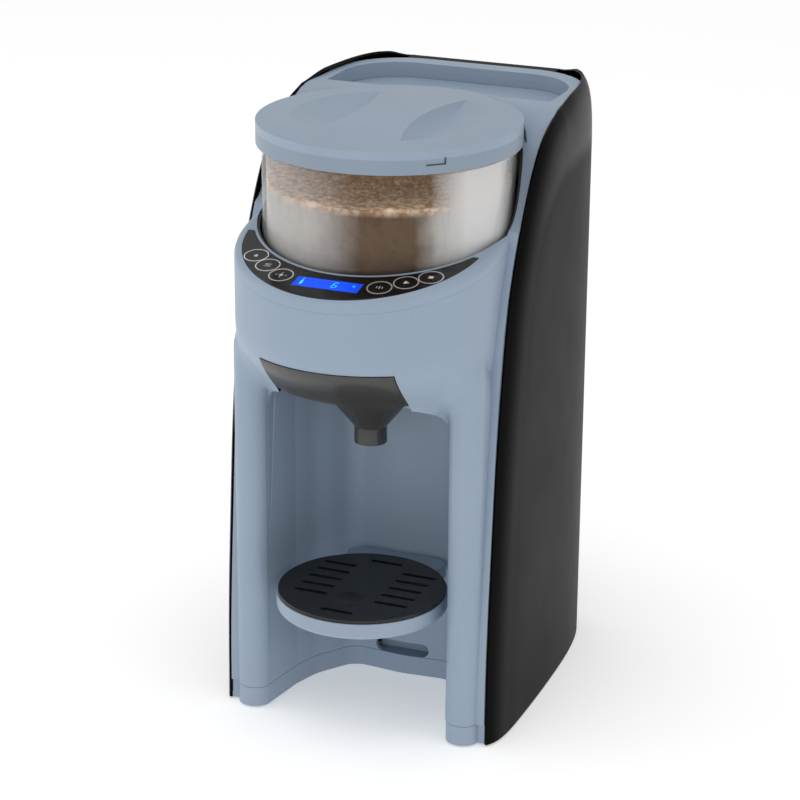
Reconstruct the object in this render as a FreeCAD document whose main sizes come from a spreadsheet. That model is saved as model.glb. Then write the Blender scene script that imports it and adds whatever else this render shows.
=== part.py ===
import FreeCAD, Part
import math
import os
import re
from types import SimpleNamespace
from FreeCAD import Placement, Rotation, Vector

# Counter-top infant formula dispenser, in millimetres.
# X is the machine's width, -Y its front, +Z up; the origin is on the floor under its middle.

SIZES = {
    # base, housing and alcove
    "floor_gap": 1.2, "plinth_top": 13.0, "seam_gap": 0.25, "wall": 3.0,
    "blue_half_width": 79.6, "deck_half_width": 76.0, "deck_rear": 119.0, "deck_corner": 42.0,
    "nose_radius": 9.9, "nose_x": 65.6, "nose_y": -68.1,
    "fascia_radius": 75.5, "fascia_y": -50.5, "fascia_edge_round": 5.0,
    "alcove_top": 204.6, "alcove_corner": 20.0, "alcove_back": -0.5,
    "housing_rear": 6.0, "seam_drop": 8.0, "shell_gap": 0.08,
    # top deck
    "recess_floor": 340.5, "recess_half_width": 69.0, "recess_rear": 107.0,
    "recess_corner": 34.0,
    # control panel: its plane rises towards the back
    "panel_rise": 0.2, "panel_level": 300.88, "panel_radius": 69.0, "panel_y": -55.5,
    "panel_inner_radius": 75.6, "panel_thickness": 2.4,
    "display_width": 38.3, "display_depth": 10.3, "display_y": -110.4, "display_thickness": 1.6,
    "button_radius": 6.2, "button_height": 5.0, "bezel_radius": 7.0,
    "bezel_height": 0.5,
    # powder container and its lid
    "container_y": -24.0, "container_radius": 71.0, "container_wall": 2.4,
    "container_bottom": 262.0, "container_top": 344.0, "well_radius": 72.4, "well_hole_radius": 74.0,
    "well_mouth_radius": 76.4, "well_wall": 2.4, "well_shell": 1.4,
    "lid_radius": 75.0, "lid_edge_top": 350.1, "lid_skirt_bottom": 337.4,
    "lid_crown": 3.0, "lid_bar_half": 18.4, 
    "scoop_radius": 54.0, "lug_height": 2.0,
    "outlet_y": -49.8, "outlet_radius": 6.6,
    # funnel
    "funnel_plate_half": 39.5, "funnel_plate_top": 232.3, 
    "funnel_shell": 1.8, "funnel_mouth_radius": 32.0, "funnel_mouth_level": 206.0,
    "funnel_neck_level": 178.0, "spout_radius": 9.4, "spout_bottom": 168.3,
    # bottle tray
    "tray_y": -61.8, "tray_radius": 48.5, "tray_top": 82.7, "tray_depth": 12.0, "tray_wall": 2.2,
    "grille_thickness": 2.0, "slot_pitch": 10.8, "slot_width": 3.2, "dimple_radius": 9.0,
    "dimple_depth": 1.4, "tray_slot_level": 73.6, "tray_slot_half": 17.0, "tray_slot_height": 8.6,
    # side panels
    "side_half_width": 87.0, "side_rear": 126.0, "side_wall": 3.0, 
    "trim_width": 8.0, "rear_cover_half": 47.0,
    # water tank and its lid
    "tank_front_radius": 80.5, "tank_half_width": 66.0, "tank_rear": 104.0, "tank_corner": 30.0,
    "tank_bottom": 34.0, "tank_top": 334.0, "tank_wall": 2.2, "tank_lid_thickness": 2.6,
    "tank_lid_rim": 5.0, "tank_port_y": 82.0,
    # drive
    "chassis_top": 259.0, "chassis_thickness": 3.0, "gear_module": 1.0, "gear_teeth": 30.0,
    "pinion_teeth": 12.0, "gear_thickness": 5.0, "gear_bottom": 246.0, "shaft_radius": 3.0,
    "motor_radius": 13.0, "motor_height": 26.0, "wheel_radius": 64.0, "running_fit": 0.05,
    # feet and screws
    "foot_radius": 7.0, "foot_height": 2.4, 
    "screw_head_radius": 3.1, "screw_head_height": 2.0,
}

doc = FreeCAD.newDocument("formula_dispenser")
sheet = doc.addObject("Spreadsheet::Sheet", "Sizes")
for line, (alias, value) in enumerate(SIZES.items(), start=1):
    sheet.set(f"A{line}", alias)
    sheet.set(f"B{line}", str(value))
    sheet.setAlias(f"B{line}", alias)
doc.recompute()
S = SimpleNamespace(**{alias: float(sheet.get(alias)) for alias in SIZES})
NODES = []


# ---------------------------------------------------------------- document helpers

def bound(obj, **cells):
    """Bind properties to expressions written with the sheet's aliases."""
    for prop, text in cells.items():
        obj.setExpression(prop, re.sub(r"[a-z][a-z0-9_]*", r"Sizes.\g<0>", str(text)))
    return obj


def moved(obj, at=(0, 0, 0), rotation=None):
    obj.Placement = Placement(Vector(*at), rotation or Rotation())
    return obj


def box(name, width, depth, height, at):
    """A box centred on at in X and Y, standing on it in Z."""
    obj = bound(doc.addObject("Part::Box", name), Length=width, Width=depth, Height=height)
    doc.recompute()
    return moved(obj, (at[0] - obj.Length.Value / 2, at[1] - obj.Width.Value / 2, at[2]))


def cylinder(name, radius, height, at, rotation=None):
    obj = bound(doc.addObject("Part::Cylinder", name), Radius=radius, Height=height)
    return moved(obj, at, rotation)


def cone(name, low, high, height, at, rotation=None):
    obj = bound(doc.addObject("Part::Cone", name), Radius1=low, Radius2=high, Height=height)
    return moved(obj, at, rotation)


def cut(name, base, tool):
    obj = doc.addObject("Part::Cut", name)
    obj.Base = base
    obj.Tool = tool
    return obj


def fuse(name, *shapes):
    obj = doc.addObject("Part::MultiFuse", name)
    obj.Shapes = list(shapes)
    return obj


def feature(name, shape):
    obj = doc.addObject("Part::Feature", name)
    obj.Shape = shape
    return obj


def node(label, obj):
    """Name a finished sub-part; its label names its file."""
    obj.Label = label
    NODES.append(obj)
    return obj


def padded_body(name, edges, height, level):
    """A PartDesign body: a sketch on the XY plane at a level, padded upwards."""
    body = doc.addObject("PartDesign::Body", name)
    ground = [p for p in body.Origin.OriginFeatures if p.Role == "XY_Plane"][0]
    sketch = body.newObject("Sketcher::SketchObject", name + "_sketch")
    sketch.AttachmentSupport = (ground, [""])
    sketch.MapMode = "FlatFace"
    sketch.addGeometry(edges, False)
    pad = body.newObject("PartDesign::Pad", name + "_pad")
    pad.Profile = sketch
    bound(pad, Length=height)
    body.Placement = Placement(Vector(0, 0, level), Rotation())
    return body


# ---------------------------------------------------------------- outline helpers

def outline_edges(points):
    """Closed outline of straight edges; a point (x, y, radius) is rounded with that radius."""
    corners = [Vector(p[0], p[1], 0) for p in points]
    radii = [p[2] if len(p) > 2 else 0 for p in points]
    starts, ends, arcs = [], [], []
    for i, corner in enumerate(corners):
        to_last = (corners[i - 1] - corner).normalize()
        to_next = (corners[(i + 1) % len(corners)] - corner).normalize()
        half = to_last.getAngle(to_next) / 2
        back = radii[i] / math.tan(half) if radii[i] else 0
        starts.append(corner + to_last * back)
        ends.append(corner + to_next * back)
        if radii[i]:
            middle = (to_last + to_next).normalize()
            top = corner + middle * (radii[i] / math.sin(half) - radii[i])
            arcs.append(Part.Arc(starts[i], top, ends[i]))
        else:
            arcs.append(None)
    edges = []
    for i in range(len(corners)):
        if arcs[i]:
            edges.append(arcs[i])
        following = starts[(i + 1) % len(corners)]
        if ends[i].distanceToPoint(following) > 1e-6:
            edges.append(Part.LineSegment(ends[i], following))
    return edges


def prism(points, low, high):
    """Solid between two levels from a rounded outline in the XY plane."""
    wire = Part.Wire(Part.__sortEdges__([e.toShape() for e in outline_edges(points)]))
    wire.translate(Vector(0, 0, low))
    return Part.Face(wire).extrude(Vector(0, 0, high - low))


def disc(x, y, radius, low, high):
    return Part.makeCylinder(radius, high - low, Vector(x, y, low))


def side_prism(points, low_x, high_x, smooth=None):
    """Solid across X from an outline in the YZ plane; smooth points become one spline edge."""
    vectors = [Vector(low_x, y, z) for y, z in points]
    if smooth:
        curve = Part.BSplineCurve()
        curve.interpolate([Vector(low_x, y, z) for y, z in smooth])
        vectors = [Vector(low_x, *smooth[-1])] + vectors + [Vector(low_x, *smooth[0])]
        edges = [curve.toShape()]
    else:
        vectors.append(vectors[0])
        edges = []
    for first, last in zip(vectors, vectors[1:]):
        if first.distanceToPoint(last) > 1e-6:
            edges.append(Part.makeLine(first, last))
    face = Part.Face(Part.Wire(Part.__sortEdges__(edges)))
    return face.extrude(Vector(high_x - low_x, 0, 0))


def panel_slab(low, high):
    """Everything between two levels measured down from the control panel's tilted plane."""
    angle = math.degrees(math.atan(S.panel_rise))
    slab = Part.makeBox(300, 400, high - low, Vector(-150, -200, low))
    slab.Placement = Placement(Vector(0, 0, S.panel_level), Rotation(Vector(1, 0, 0), angle))
    return slab


def panel_height(y):
    return S.panel_level + S.panel_rise * y


# ---------------------------------------------------------------- shared volumes

ALCOVE = [(-56, -150), (-56, -69), (-52, -39), (-47, -22, 30), (-31.6, 1.5, 14), (0, S.alcove_back - 0.8, 60),
          (31.6, 1.5, 14), (47, -22, 30), (52, -39), (56, -69), (56, -150)]
# front edge of the black side panels, seen from the side: y, z
SIDE_EDGE = [(-71.5, 1.2), (-70.3, 60), (-65.6, 120), (-60.5, 180), (-49, 250), (-38.6, 279),
             (-20, 314), (-2, 335), (14, 344), (34, 349.5)]
# top of the blue shoulders, seen from the side: y, z
SHOULDER = [(-36, 293.7), (-27, 297), (-19, 304), (-11, 315), (-3, 326), (6, 335), (17, 342.2),
            (30, 347.6), (44, 349.5)]
# the tank, its bay and its lid lie behind this Y
TANK_FRONT = 48
# how far the round front sets back as it slopes in below the fascia: z, setback
CHIN_SWEEP = [(198, 34.5), (206, 26.4), (214, 18.4), (222, 10.6), (228, 5.6), (233, 2.4), (238, 0.6),
              (243, 0)]


def alcove_shape(grow):
    """The alcove with its rounded ceiling corners, larger by grow all round."""
    plan = [(x + math.copysign(grow, x) if x else 0, y + (grow if y > -10 else 0), *r) for x, y, *r in ALCOVE]
    shape = prism(plan, -1, S.alcove_top + grow)
    front = [(-56 - grow, -1), (-56 - grow, S.alcove_top + grow, S.alcove_corner + grow),
             (56 + grow, S.alcove_top + grow, S.alcove_corner + grow), (56 + grow, -1)]
    wire = Part.Wire(Part.__sortEdges__([e.toShape() for e in outline_edges(front)]))
    arch = Part.Face(wire).extrude(Vector(0, 0, 200))
    arch.rotate(Vector(0, 0, 0), Vector(1, 0, 0), 90)
    arch.translate(Vector(0, 60, 0))
    return shape.common(arch)


def front_body(inset, bottom, top, rear):
    """Round fascia over a sloping chin, standing on two round-nosed pillars."""
    radius = S.fascia_radius - inset
    nose, level = S.nose_radius - inset, S.alcove_top
    drum = disc(0, S.fascia_y, radius, CHIN_SWEEP[-1][0], top)
    rings = [Part.Wire(Part.makeCircle(radius, Vector(0, S.fascia_y + back, z))) for z, back in CHIN_SWEEP]
    chin = Part.makeLoft(rings, True, False)
    block = Part.makeBox(2 * radius, rear - S.fascia_y, top - bottom, Vector(-radius, S.fascia_y, bottom))
    body = drum.fuse(chin).fuse(block)
    for sign in (-1, 1):
        x = sign * S.nose_x
        column = disc(x, S.nose_y, nose, bottom, level)
        dome = Part.makeSphere(nose, Vector(x, S.nose_y, level))
        leg = Part.makeBox(2 * nose, S.fascia_y - S.nose_y, level - bottom,
                           Vector(x - nose, S.nose_y, bottom))
        body = body.fuse(column).fuse(dome).fuse(leg)
    return body


def side_strip(inset, top, rear):
    """Narrow side faces beside the black panels, behind the panels' front edge."""
    outline = [(rear, top + 20), (rear, 1.2), (SIDE_EDGE[0][0] + inset, 1.2)]
    edge = [(y + inset, z) for y, z in SIDE_EDGE]
    return side_prism(outline, -S.blue_half_width + inset, S.blue_half_width - inset, edge)


def deck_plan(grow, front=-60):
    """Plan of the blue top, from behind the fascia to the rounded rear."""
    wide, narrow, rear = S.blue_half_width + grow, S.deck_half_width + grow, S.deck_rear + grow
    return [(-wide, front), (-wide, 10), (-narrow, 60), (-narrow, rear, S.deck_corner),
            (narrow, rear, S.deck_corner), (narrow, 60), (wide, 10), (wide, front)]


def crescent_plan(front_radius, half_width, rear, corner, low, high, front=TANK_FRONT):
    """Plan behind the powder container: straight sides, rounded rear, round hollow front."""
    plan = [(-half_width, 0), (-half_width, rear, corner), (half_width, rear, corner), (half_width, 0)]
    shape = prism(plan, low, high)
    shape = shape.cut(disc(0, S.container_y, front_radius, low - 1, high + 1))
    trim = Part.makeBox(400, 400, high - low + 2, Vector(-200, -400 + front, low - 1))
    return shape.cut(trim)


def under_top(drop):
    """Side-view volume under the panel plane, the shoulders and the deck, lowered by drop."""
    front = -150
    curve = [(y + drop * 0.35, z - drop) for y, z in SHOULDER]
    start = (front, panel_height(front) - drop)
    outline = [(curve[-1][0] + 120, curve[-1][1]), (curve[-1][0] + 120, -5), (front, -5), start]
    return side_prism(outline, -140, 140, curve)


# ---------------------------------------------------------------- housings

def base_plate():
    plan = [(-S.blue_half_width, -70), (-S.blue_half_width, 60), (-S.deck_half_width, 80),
            (-S.deck_half_width, S.deck_rear - 1, S.deck_corner),
            (S.deck_half_width, S.deck_rear - 1, S.deck_corner),
            (S.deck_half_width, 80), (S.blue_half_width, 60), (S.blue_half_width, -70)]
    edges = outline_edges(plan)
    slab = padded_body("plinth_body", edges, "plinth_top - floor_gap", S.floor_gap)
    noses = [cylinder(f"plinth_nose_{i}", "nose_radius", "plinth_top - floor_gap", (x, S.nose_y, S.floor_gap))
             for i, x in enumerate((-S.nose_x, S.nose_x))]
    low_slab = Part.makeBox(300, 300, 40, Vector(-150, -200, -1))
    notch = feature("plinth_notch", alcove_shape(0).common(low_slab))
    hollow = feature("plinth_hollow", prism([(-70, 12), (-70, 106, 30), (70, 106, 30), (70, 12)],
                                            S.floor_gap + S.wall, S.plinth_top + 1))
    outer = fuse("plinth_outer", slab, *noses)
    wells = [cylinder(f"foot_well_{i}", "foot_radius + 0.1", "1.6", (x, y, S.floor_gap - 0.2))
             for i, (x, y) in enumerate(FEET)]
    tools = fuse("plinth_cuts", notch, hollow, *wells)
    return node("base_plate", cut("base_plate_solid", outer, tools))


FEET = [(-66, -55), (66, -55), (-56, 92), (56, 92)]


def rubber_feet():
    pads = []
    for i, (x, y) in enumerate(FEET):
        foot = cone(f"foot_{i}", "foot_radius - 0.8", "foot_radius", "foot_height", (x, y, 0))
        pads.append(foot)
    return node("rubber_feet", fuse("rubber_feet_group", *pads))


def front_housing():
    outer = front_body(0, S.plinth_top + S.seam_gap, 320, S.housing_rear)
    outer = outer.fuse(side_strip(0, 320, S.housing_rear).cut(
        Part.makeBox(400, 400, S.plinth_top + S.seam_gap, Vector(-200, -200, 0))))
    inner = front_body(S.wall, 0, 330, S.housing_rear + 20)
    inner = inner.fuse(side_strip(S.wall, 340, S.housing_rear + 20))
    inner = inner.cut(alcove_shape(S.wall))
    shell = outer.cut(inner).cut(alcove_shape(0)).cut(panel_slab(-S.seam_drop, 120))
    shell = shell.cut(funnel_space(0.4)).cut(hanger_slots())
    shell = shell.cut(disc(0, S.container_y, S.well_radius + S.well_shell + 0.2, S.chassis_top, 360))
    return node("front_housing", feature("front_housing_solid", largest(shell)))


def largest(shape):
    solids = sorted(shape.Solids, key=lambda solid: solid.Volume)
    return solids[-1]


def hanger_slots():
    """Three rounded slots in the alcove's back wall: the tray's hook goes into any of them."""
    slots = []
    for level in (17.6, 45.5, S.tray_slot_level):
        half, tall = S.tray_slot_half, S.tray_slot_height / 2
        plan = [(-half, -tall, tall * 0.98), (half, -tall, tall * 0.98), (half, tall, tall * 0.98),
                (-half, tall, tall * 0.98)]
        slot_shape = prism(plan, 0, 20)
        slot_shape.rotate(Vector(0, 0, 0), Vector(1, 0, 0), 90)
        slot_shape.translate(Vector(0, 10, level))
        slots.append(slot_shape)
    return Part.makeCompound(slots)


def funnel_space(gap):
    """The opening in the chin and ceiling that the funnel slides into."""
    half = S.funnel_plate_half + gap
    plate = side_prism([(-140, 232.3 + gap), (-140, 150), (-84, 150), (-84, 232.3 + gap)], -half, half)
    throat = Part.makeBox(2 * S.funnel_mouth_radius + 2 * gap + 4, 110, 25.5,
                          Vector(-S.funnel_mouth_radius - gap - 2, -125, 190))
    return plate.cut(Part.makeBox(200, 60, 40, Vector(-100, -84, 180))).fuse(throat)


def top_housing():
    outer = front_body(0, 150, 345, S.housing_rear + 30).common(under_top(0))
    outer = rounded_fascia_edge(outer)
    deck = prism(deck_plan(0), 240, 360).common(under_top(0))
    deck = deck.common(side_strip(0, 350, 160))
    outer = outer.fuse(deck)
    inner = front_body(S.wall, 150, 360, S.housing_rear + 40).fuse(
        prism(deck_plan(-S.wall), 200, 360).common(side_strip(S.wall, 360, 160)))
    inner = inner.common(under_top(S.wall + 1.5))
    shell = outer.cut(inner)
    collar = disc(0, S.container_y, S.well_hole_radius + S.well_wall, 280, 360).common(outer)
    shell = shell.fuse(collar)
    bay = crescent_plan(S.tank_front_radius - 3.2, S.recess_half_width + S.wall, S.recess_rear + S.wall,
                        S.recess_corner + S.wall, 300, 347, TANK_FRONT - S.wall).common(outer)
    shell = shell.fuse(bay)
    shell = shell.cut(crescent_plan(S.tank_front_radius - 1.0, S.recess_half_width, S.recess_rear,
                                    S.recess_corner, 200, 400, TANK_FRONT - 0.5))
    shell = shell.cut(disc(0, S.container_y, S.well_hole_radius, 200, 400))
    shell = shell.cut(disc(0, S.container_y, S.well_mouth_radius, S.lid_skirt_bottom - 2, 400))
    shell = shell.cut(panel_slab(-300, -S.seam_drop + S.shell_gap))
    shell = shell.cut(crescent(0.15, -0.15).common(panel_slab(-S.panel_thickness, 60)))
    for x, y in BUTTONS:
        shell = shell.cut(button_rod(x, y, S.button_radius + 0.4, -20, 5))
    shell = shell.cut(display_block(0.3, -12, 2))
    return node("top_housing", feature("top_housing_solid", largest(shell)))


def container_well():
    """Dark tub that the powder container stands in."""
    low, floor = S.chassis_top + 0.1, S.container_bottom - 0.1
    tub = disc(0, S.container_y, S.well_radius + S.well_shell, low, S.lid_skirt_bottom - 2.2)
    tub = tub.cut(disc(0, S.container_y, S.well_radius, floor, 400)).common(under_top(1.2))
    tub = tub.cut(disc(0, S.container_y, 9, 200, 300))
    tub = tub.cut(disc(0, S.outlet_y, S.outlet_radius + 0.1, 200, 300))
    return node("container_well", feature("container_well_solid", largest(tub)))


def rounded_fascia_edge(shape):
    """Round the edge between the fascia's front and the panel's plane."""
    edges = []
    for edge in shape.Edges:
        middle = edge.valueAt((edge.FirstParameter + edge.LastParameter) / 2)
        on_plane = abs(middle.z - panel_height(middle.y)) < 0.05
        if on_plane and edge.Length > 100 and middle.y < -100:
            edges.append(edge)
    try:
        rounded = shape.makeFillet(S.fascia_edge_round, edges)
        if rounded.isValid() and rounded.Volume > 0.9 * shape.Volume:
            return rounded
    except Exception as error:
        print("fascia edge left sharp:", error)
    return shape


# ---------------------------------------------------------------- black side panels and rear

def inset_edge(points, inset):
    """The panels' front edge moved inwards along its own normal."""
    moved_points = []
    for i, (y, z) in enumerate(points):
        before, after = points[max(i - 1, 0)], points[min(i + 1, len(points) - 1)]
        run_y, run_z = after[0] - before[0], after[1] - before[1]
        length = math.hypot(run_y, run_z)
        moved_points.append((y + inset * run_z / length, z - inset * run_y / length))
    moved_points[0] = (moved_points[0][0], S.floor_gap)
    return moved_points


def side_envelope(inset):
    """Outer volume of the black panels: a pillow that rolls in at its front and top."""
    sections = [(S.blue_half_width - inset - 8, 0), (S.blue_half_width + 0.2 - inset, 0.3),
                (S.side_half_width - inset - 4.6, 4.0), (S.side_half_width - inset - 1.6, 13.0),
                (S.side_half_width - inset - 0.25, 26.0), (S.side_half_width - inset, 40.0)]
    halves = []
    for sign in (-1, 1):
        wires = []
        for x, roll in sections:
            edge = inset_edge(SIDE_EDGE, roll + inset)
            curve = Part.BSplineCurve()
            curve.interpolate([Vector(sign * x, y, z) for y, z in edge])
            rear_top = Vector(sign * x, 140, edge[-1][1])
            rear_low = Vector(sign * x, 140, S.floor_gap)
            first, last = Vector(sign * x, *edge[0]), Vector(sign * x, *edge[-1])
            wires.append(Part.Wire([curve.toShape(), Part.makeLine(last, rear_top),
                                    Part.makeLine(rear_top, rear_low), Part.makeLine(rear_low, first)]))
        halves.append(Part.makeLoft(wires, True, False))
    front = inset_edge(SIDE_EDGE, inset)
    middle = side_prism([(140, front[-1][1]), (140, S.floor_gap), (front[0][0], S.floor_gap)],
                        -S.blue_half_width + 6 + inset, S.blue_half_width - 6 - inset, front)
    body = halves[0].fuse(halves[1]).fuse(middle)
    rear = S.side_rear - inset
    wide = S.side_half_width - inset
    plan = [(-wide - 2, -90), (-wide, 0, 200), (-81.5 + inset, 92, 60), (-66 + inset, rear, 26),
            (66 - inset, rear, 26), (81.5 - inset, 92, 60), (wide, 0, 200), (wide + 2, -90)]
    return body.common(prism(plan, 0, 400))


def black_panels():
    shell = side_envelope(0).cut(side_envelope(S.side_wall))
    shell = shell.cut(prism(deck_plan(0.25, -110), -1, 400))
    half, gap = S.rear_cover_half, S.seam_gap
    core = Part.makeBox(2 * half, 80, 400, Vector(-half, 60, 0))
    grown = Part.makeBox(2 * (half + gap), 80, 402, Vector(-half - gap, 60, -1))
    rear = shell.common(core)
    trim_zone = side_prism([(200, 420), (200, 0), (inset_edge(SIDE_EDGE, S.trim_width)[0][0], 0)],
                           -120, 120, inset_edge(SIDE_EDGE, S.trim_width))
    sides = shell.cut(grown)
    for name, low in (("left", -130), ("right", 0)):
        part = sides.common(Part.makeBox(130, 400, 400, Vector(low, -200, -10)))
        panel = largest(part.common(trim_zone))
        trim = largest(part.cut(trim_zone))
        node(f"side_panel_{name}", feature(f"side_panel_{name}_solid", panel))
        node(f"side_trim_{name}", feature(f"side_trim_{name}_solid", trim))
    rim = S.side_rear - 1.8
    openings = [Part.makeBox(27.4, 30, 20.4, Vector(-33.7, 100, 24.8)),
                Part.makeBox(31.4, 30, 24.4, Vector(-35.7, rim, 22.8)),
                Part.makeBox(19.4, 30, 13.4, Vector(14.3, 100, 28.3)),
                Part.makeBox(22.4, 30, 16.4, Vector(12.8, rim, 26.8))]
    for row in range(9):
        openings.append(Part.makeBox(50, 30, 2.4, Vector(-25, 100, 60 + 6 * row)))
    return node("rear_cover", feature("rear_cover_solid", largest(rear.cut(openings))))


# ---------------------------------------------------------------- control panel

BUTTONS = [(-51.5, -89.5), (-40.6, -98.2), (-28.8, -106.8), (28.8, -106.8), (40.6, -98.2), (51.5, -89.5)]


def crescent(grow, inner_grow):
    """Vertical prism of the control panel's crescent, with blunt rounded tips."""
    shape = disc(0, S.panel_y, S.panel_radius + grow, 240, 340)
    shape = shape.cut(disc(0, S.container_y, S.panel_inner_radius + inner_grow, 230, 350))
    tips = [(-90, -140), (-90, -62.5 + grow), (90, -62.5 + grow), (90, -140)]
    return shape.common(prism(tips, 230, 350))


def panel_turn():
    return Rotation(Vector(1, 0, 0), math.degrees(math.atan(S.panel_rise)))


def button_rod(x, y, radius, low, high):
    rod = Part.makeCylinder(radius, high - low, Vector(0, 0, low))
    rod.Placement = Placement(Vector(x, y, panel_height(y)), panel_turn())
    return rod


def display_block(grow, low, high):
    block = Part.makeBox(S.display_width + 2 * grow, S.display_depth + 2 * grow, high - low,
                         Vector(-S.display_width / 2 - grow, -S.display_depth / 2 - grow, low))
    block.Placement = Placement(Vector(0, S.display_y, panel_height(S.display_y)), panel_turn())
    return block


def control_panel():
    shape = crescent(0, 0.15).common(panel_slab(-S.panel_thickness + 0.05, 0))
    for x, y in BUTTONS:
        shape = shape.cut(button_rod(x, y, S.button_radius + 0.2, -10, 5))
        shape = shape.cut(button_rod(x, y, S.bezel_radius + 0.02, -S.bezel_height, 5))
    shape = shape.cut(display_block(0.1, -S.display_thickness, 2))
    shape = shape.cut(display_block(-2.0, -10, 2))
    node("control_fascia", feature("control_fascia_solid", shape))
    window = display_block(0, -S.display_thickness, -0.05)
    node("display_window", feature("display_window_solid", window))
    module = display_block(-0.2, -8.4, -S.panel_thickness - 0.1)
    node("lcd_module", feature("lcd_module_solid", module))
    rings = []
    for i, (x, y) in enumerate(BUTTONS, start=1):
        at = Vector(x, y, panel_height(y)) + panel_turn().multVec(Vector(0, 0, -S.bezel_height))
        outer = cylinder(f"bezel_disc_{i}", "bezel_radius", "bezel_height + 0.15", at, panel_turn())
        inner = cylinder(f"bezel_hole_{i}", "button_radius + 0.2", "bezel_height + 1", at, panel_turn())
        rings.append(cut(f"bezel_{i}", outer, inner))
        top = Vector(x, y, panel_height(y)) + panel_turn().multVec(Vector(0, 0, 0.1 - S.button_height))
        key = cylinder(f"key_{i}", "button_radius", "button_height", top, panel_turn())
        node(f"button_{i}", key)
    node("button_bezels", fuse("button_bezel_group", *rings))
    domes = []
    for i, (x, y) in enumerate(BUTTONS, start=1):
        low = Vector(x, y, panel_height(y)) + panel_turn().multVec(Vector(0, 0, -9.5))
        domes.append(cone(f"dome_{i}", "button_radius - 1", "button_radius - 2.4", "3.6", low, panel_turn()))
    node("button_domes", fuse("button_dome_group", *domes))
    board = disc(0, S.panel_y, S.panel_radius - 5, 240, 340).cut(disc(0, S.container_y, 78.4, 230, 350))
    board = board.common(panel_slab(-11.2, -9.6)).common(Part.makeBox(116, 100, 200, Vector(-58, -140, 200)))
    node("control_board", feature("control_board_solid", largest(board)))


# ---------------------------------------------------------------- powder container and lid

def powder_container():
    y = S.container_y
    wall = cylinder("container_outer", "container_radius", "container_top - container_bottom",
                    (0, y, S.container_bottom))
    hollow = cylinder("container_inner", "container_radius - container_wall",
                      "container_top - container_bottom", (0, y, S.container_bottom + 3))
    shaft_hole = cylinder("container_shaft_hole", "shaft_radius + 2.5", "20", (0, y, S.container_bottom - 5))
    outlet = cylinder("container_outlet", "outlet_radius", "20", (0, S.outlet_y, S.container_bottom - 5))
    ledge_outer = cylinder("container_ledge", "container_radius + 0.9", "1.6", (0, y, S.lid_skirt_bottom - 3))
    outer = fuse("container_body", wall, ledge_outer)
    lugs = []
    for i in range(3):
        angle = 120 * i + 60
        at = (math.cos(math.radians(angle)) * (S.container_radius - 0.1),
              y + math.sin(math.radians(angle)) * (S.container_radius - 0.1), S.container_top - 3.4)
        lug = box(f"container_lug_{i}", "2.4", "9", "lug_height", at)
        lug.Placement = Placement(Vector(*at), Rotation(Vector(0, 0, 1), angle), Vector(0, 0, 0)).multiply(
            Placement(Vector(-1.2, -4.5, 0), Rotation()))
        lugs.append(lug)
    whole = fuse("container_with_lugs", outer, *lugs)
    return node("powder_container", cut("powder_container_solid", whole,
                                        fuse("container_cuts", hollow, shaft_hole, outlet)))


def powder_wheel():
    y, bottom = S.container_y, S.container_bottom + 3.2
    hub = cylinder("wheel_hub", "9", "16", (0, y, bottom))
    blades = []
    for i in range(6):
        blade = box(f"wheel_blade_{i}", "wheel_radius - 6", "3", "8", (0, 0, 0))
        turn = Rotation(Vector(0, 0, 1), 60 * i + 30)
        outward = Placement(Vector(6, -1.5, 0), Rotation())
        blade.Placement = Placement(Vector(0, y, bottom), turn).multiply(outward)
        blades.append(blade)
    rim = cut("wheel_rim", cylinder("wheel_rim_disc", "wheel_radius", "8", (0, y, bottom)),
              cylinder("wheel_rim_hole", "wheel_radius - 2.4", "10", (0, y, bottom - 1)))
    socket = cylinder("wheel_socket", "shaft_radius + 0.05", "9", (0, y, bottom - 1))
    wheel = cut("powder_wheel_solid", fuse("wheel_whole", hub, rim, *blades), socket)
    node("powder_wheel", wheel)
    post = cylinder("stirrer_post", "2.2", "32", (0, y, bottom + 16.0))
    arms = []
    for i, level in enumerate((8, 18, 28)):
        arm = cylinder(f"stirrer_arm_{i}", "1.4", "80", (0, 0, 0))
        turn = Rotation(Vector(0, 0, 1), 55 * i).multiply(Rotation(Vector(0, 1, 0), 90))
        centred = Placement(Vector(0, 0, -40), Rotation())
        arm.Placement = Placement(Vector(0, y, bottom + 16 + level), turn).multiply(centred)
        arms.append(arm)
    return node("stirrer", fuse("stirrer_solid", post, *arms))


def powder_lid():
    """Round lid with a grip bar left standing between two scoops."""
    y = S.container_y
    top, bottom = S.lid_edge_top, S.lid_skirt_bottom
    sphere_radius = (S.lid_radius ** 2 + S.lid_crown ** 2) / (2 * S.lid_crown)
    block = Part.makeCylinder(S.lid_radius - 0.7, top - bottom, Vector(0, y, bottom))
    brim = Part.makeCylinder(S.lid_radius, 2.4, Vector(0, y, top - 2.4))
    crown = Part.makeSphere(sphere_radius, Vector(0, y, top + S.lid_crown - sphere_radius))
    crown = crown.common(Part.makeCylinder(S.lid_radius, 20, Vector(0, y, top)))
    lid = block.fuse(brim).fuse(crown)
    hollow = disc(0, y, S.container_radius + 1.6, bottom - 0.01, S.container_top + 0.4)
    lid = lid.cut(hollow)
    for sign in (-1, 1):
        lid = lid.cut(scoop(sign))
    for i in range(3):
        lid = lid.fuse(lid_lug(120 * i))
    return node("powder_lid", feature("powder_lid_solid", largest(lid.removeSplitter())))


def scoop(sign):
    """One finger scoop: a half-moon pocket beside the grip bar."""
    y = S.container_y
    ring = Part.makeCylinder(S.scoop_radius, 20, Vector(0, y, S.lid_edge_top - 4.6))
    half = S.lid_bar_half + 3
    bar = Part.makeBox(2 * half, 200, 60, Vector(-half, y - 100, S.lid_edge_top - 20))
    side = Part.makeBox(200, 200, 60, Vector(0 if sign > 0 else -200, y - 100, S.lid_edge_top - 20))
    return ring.cut(bar).common(side)


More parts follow.
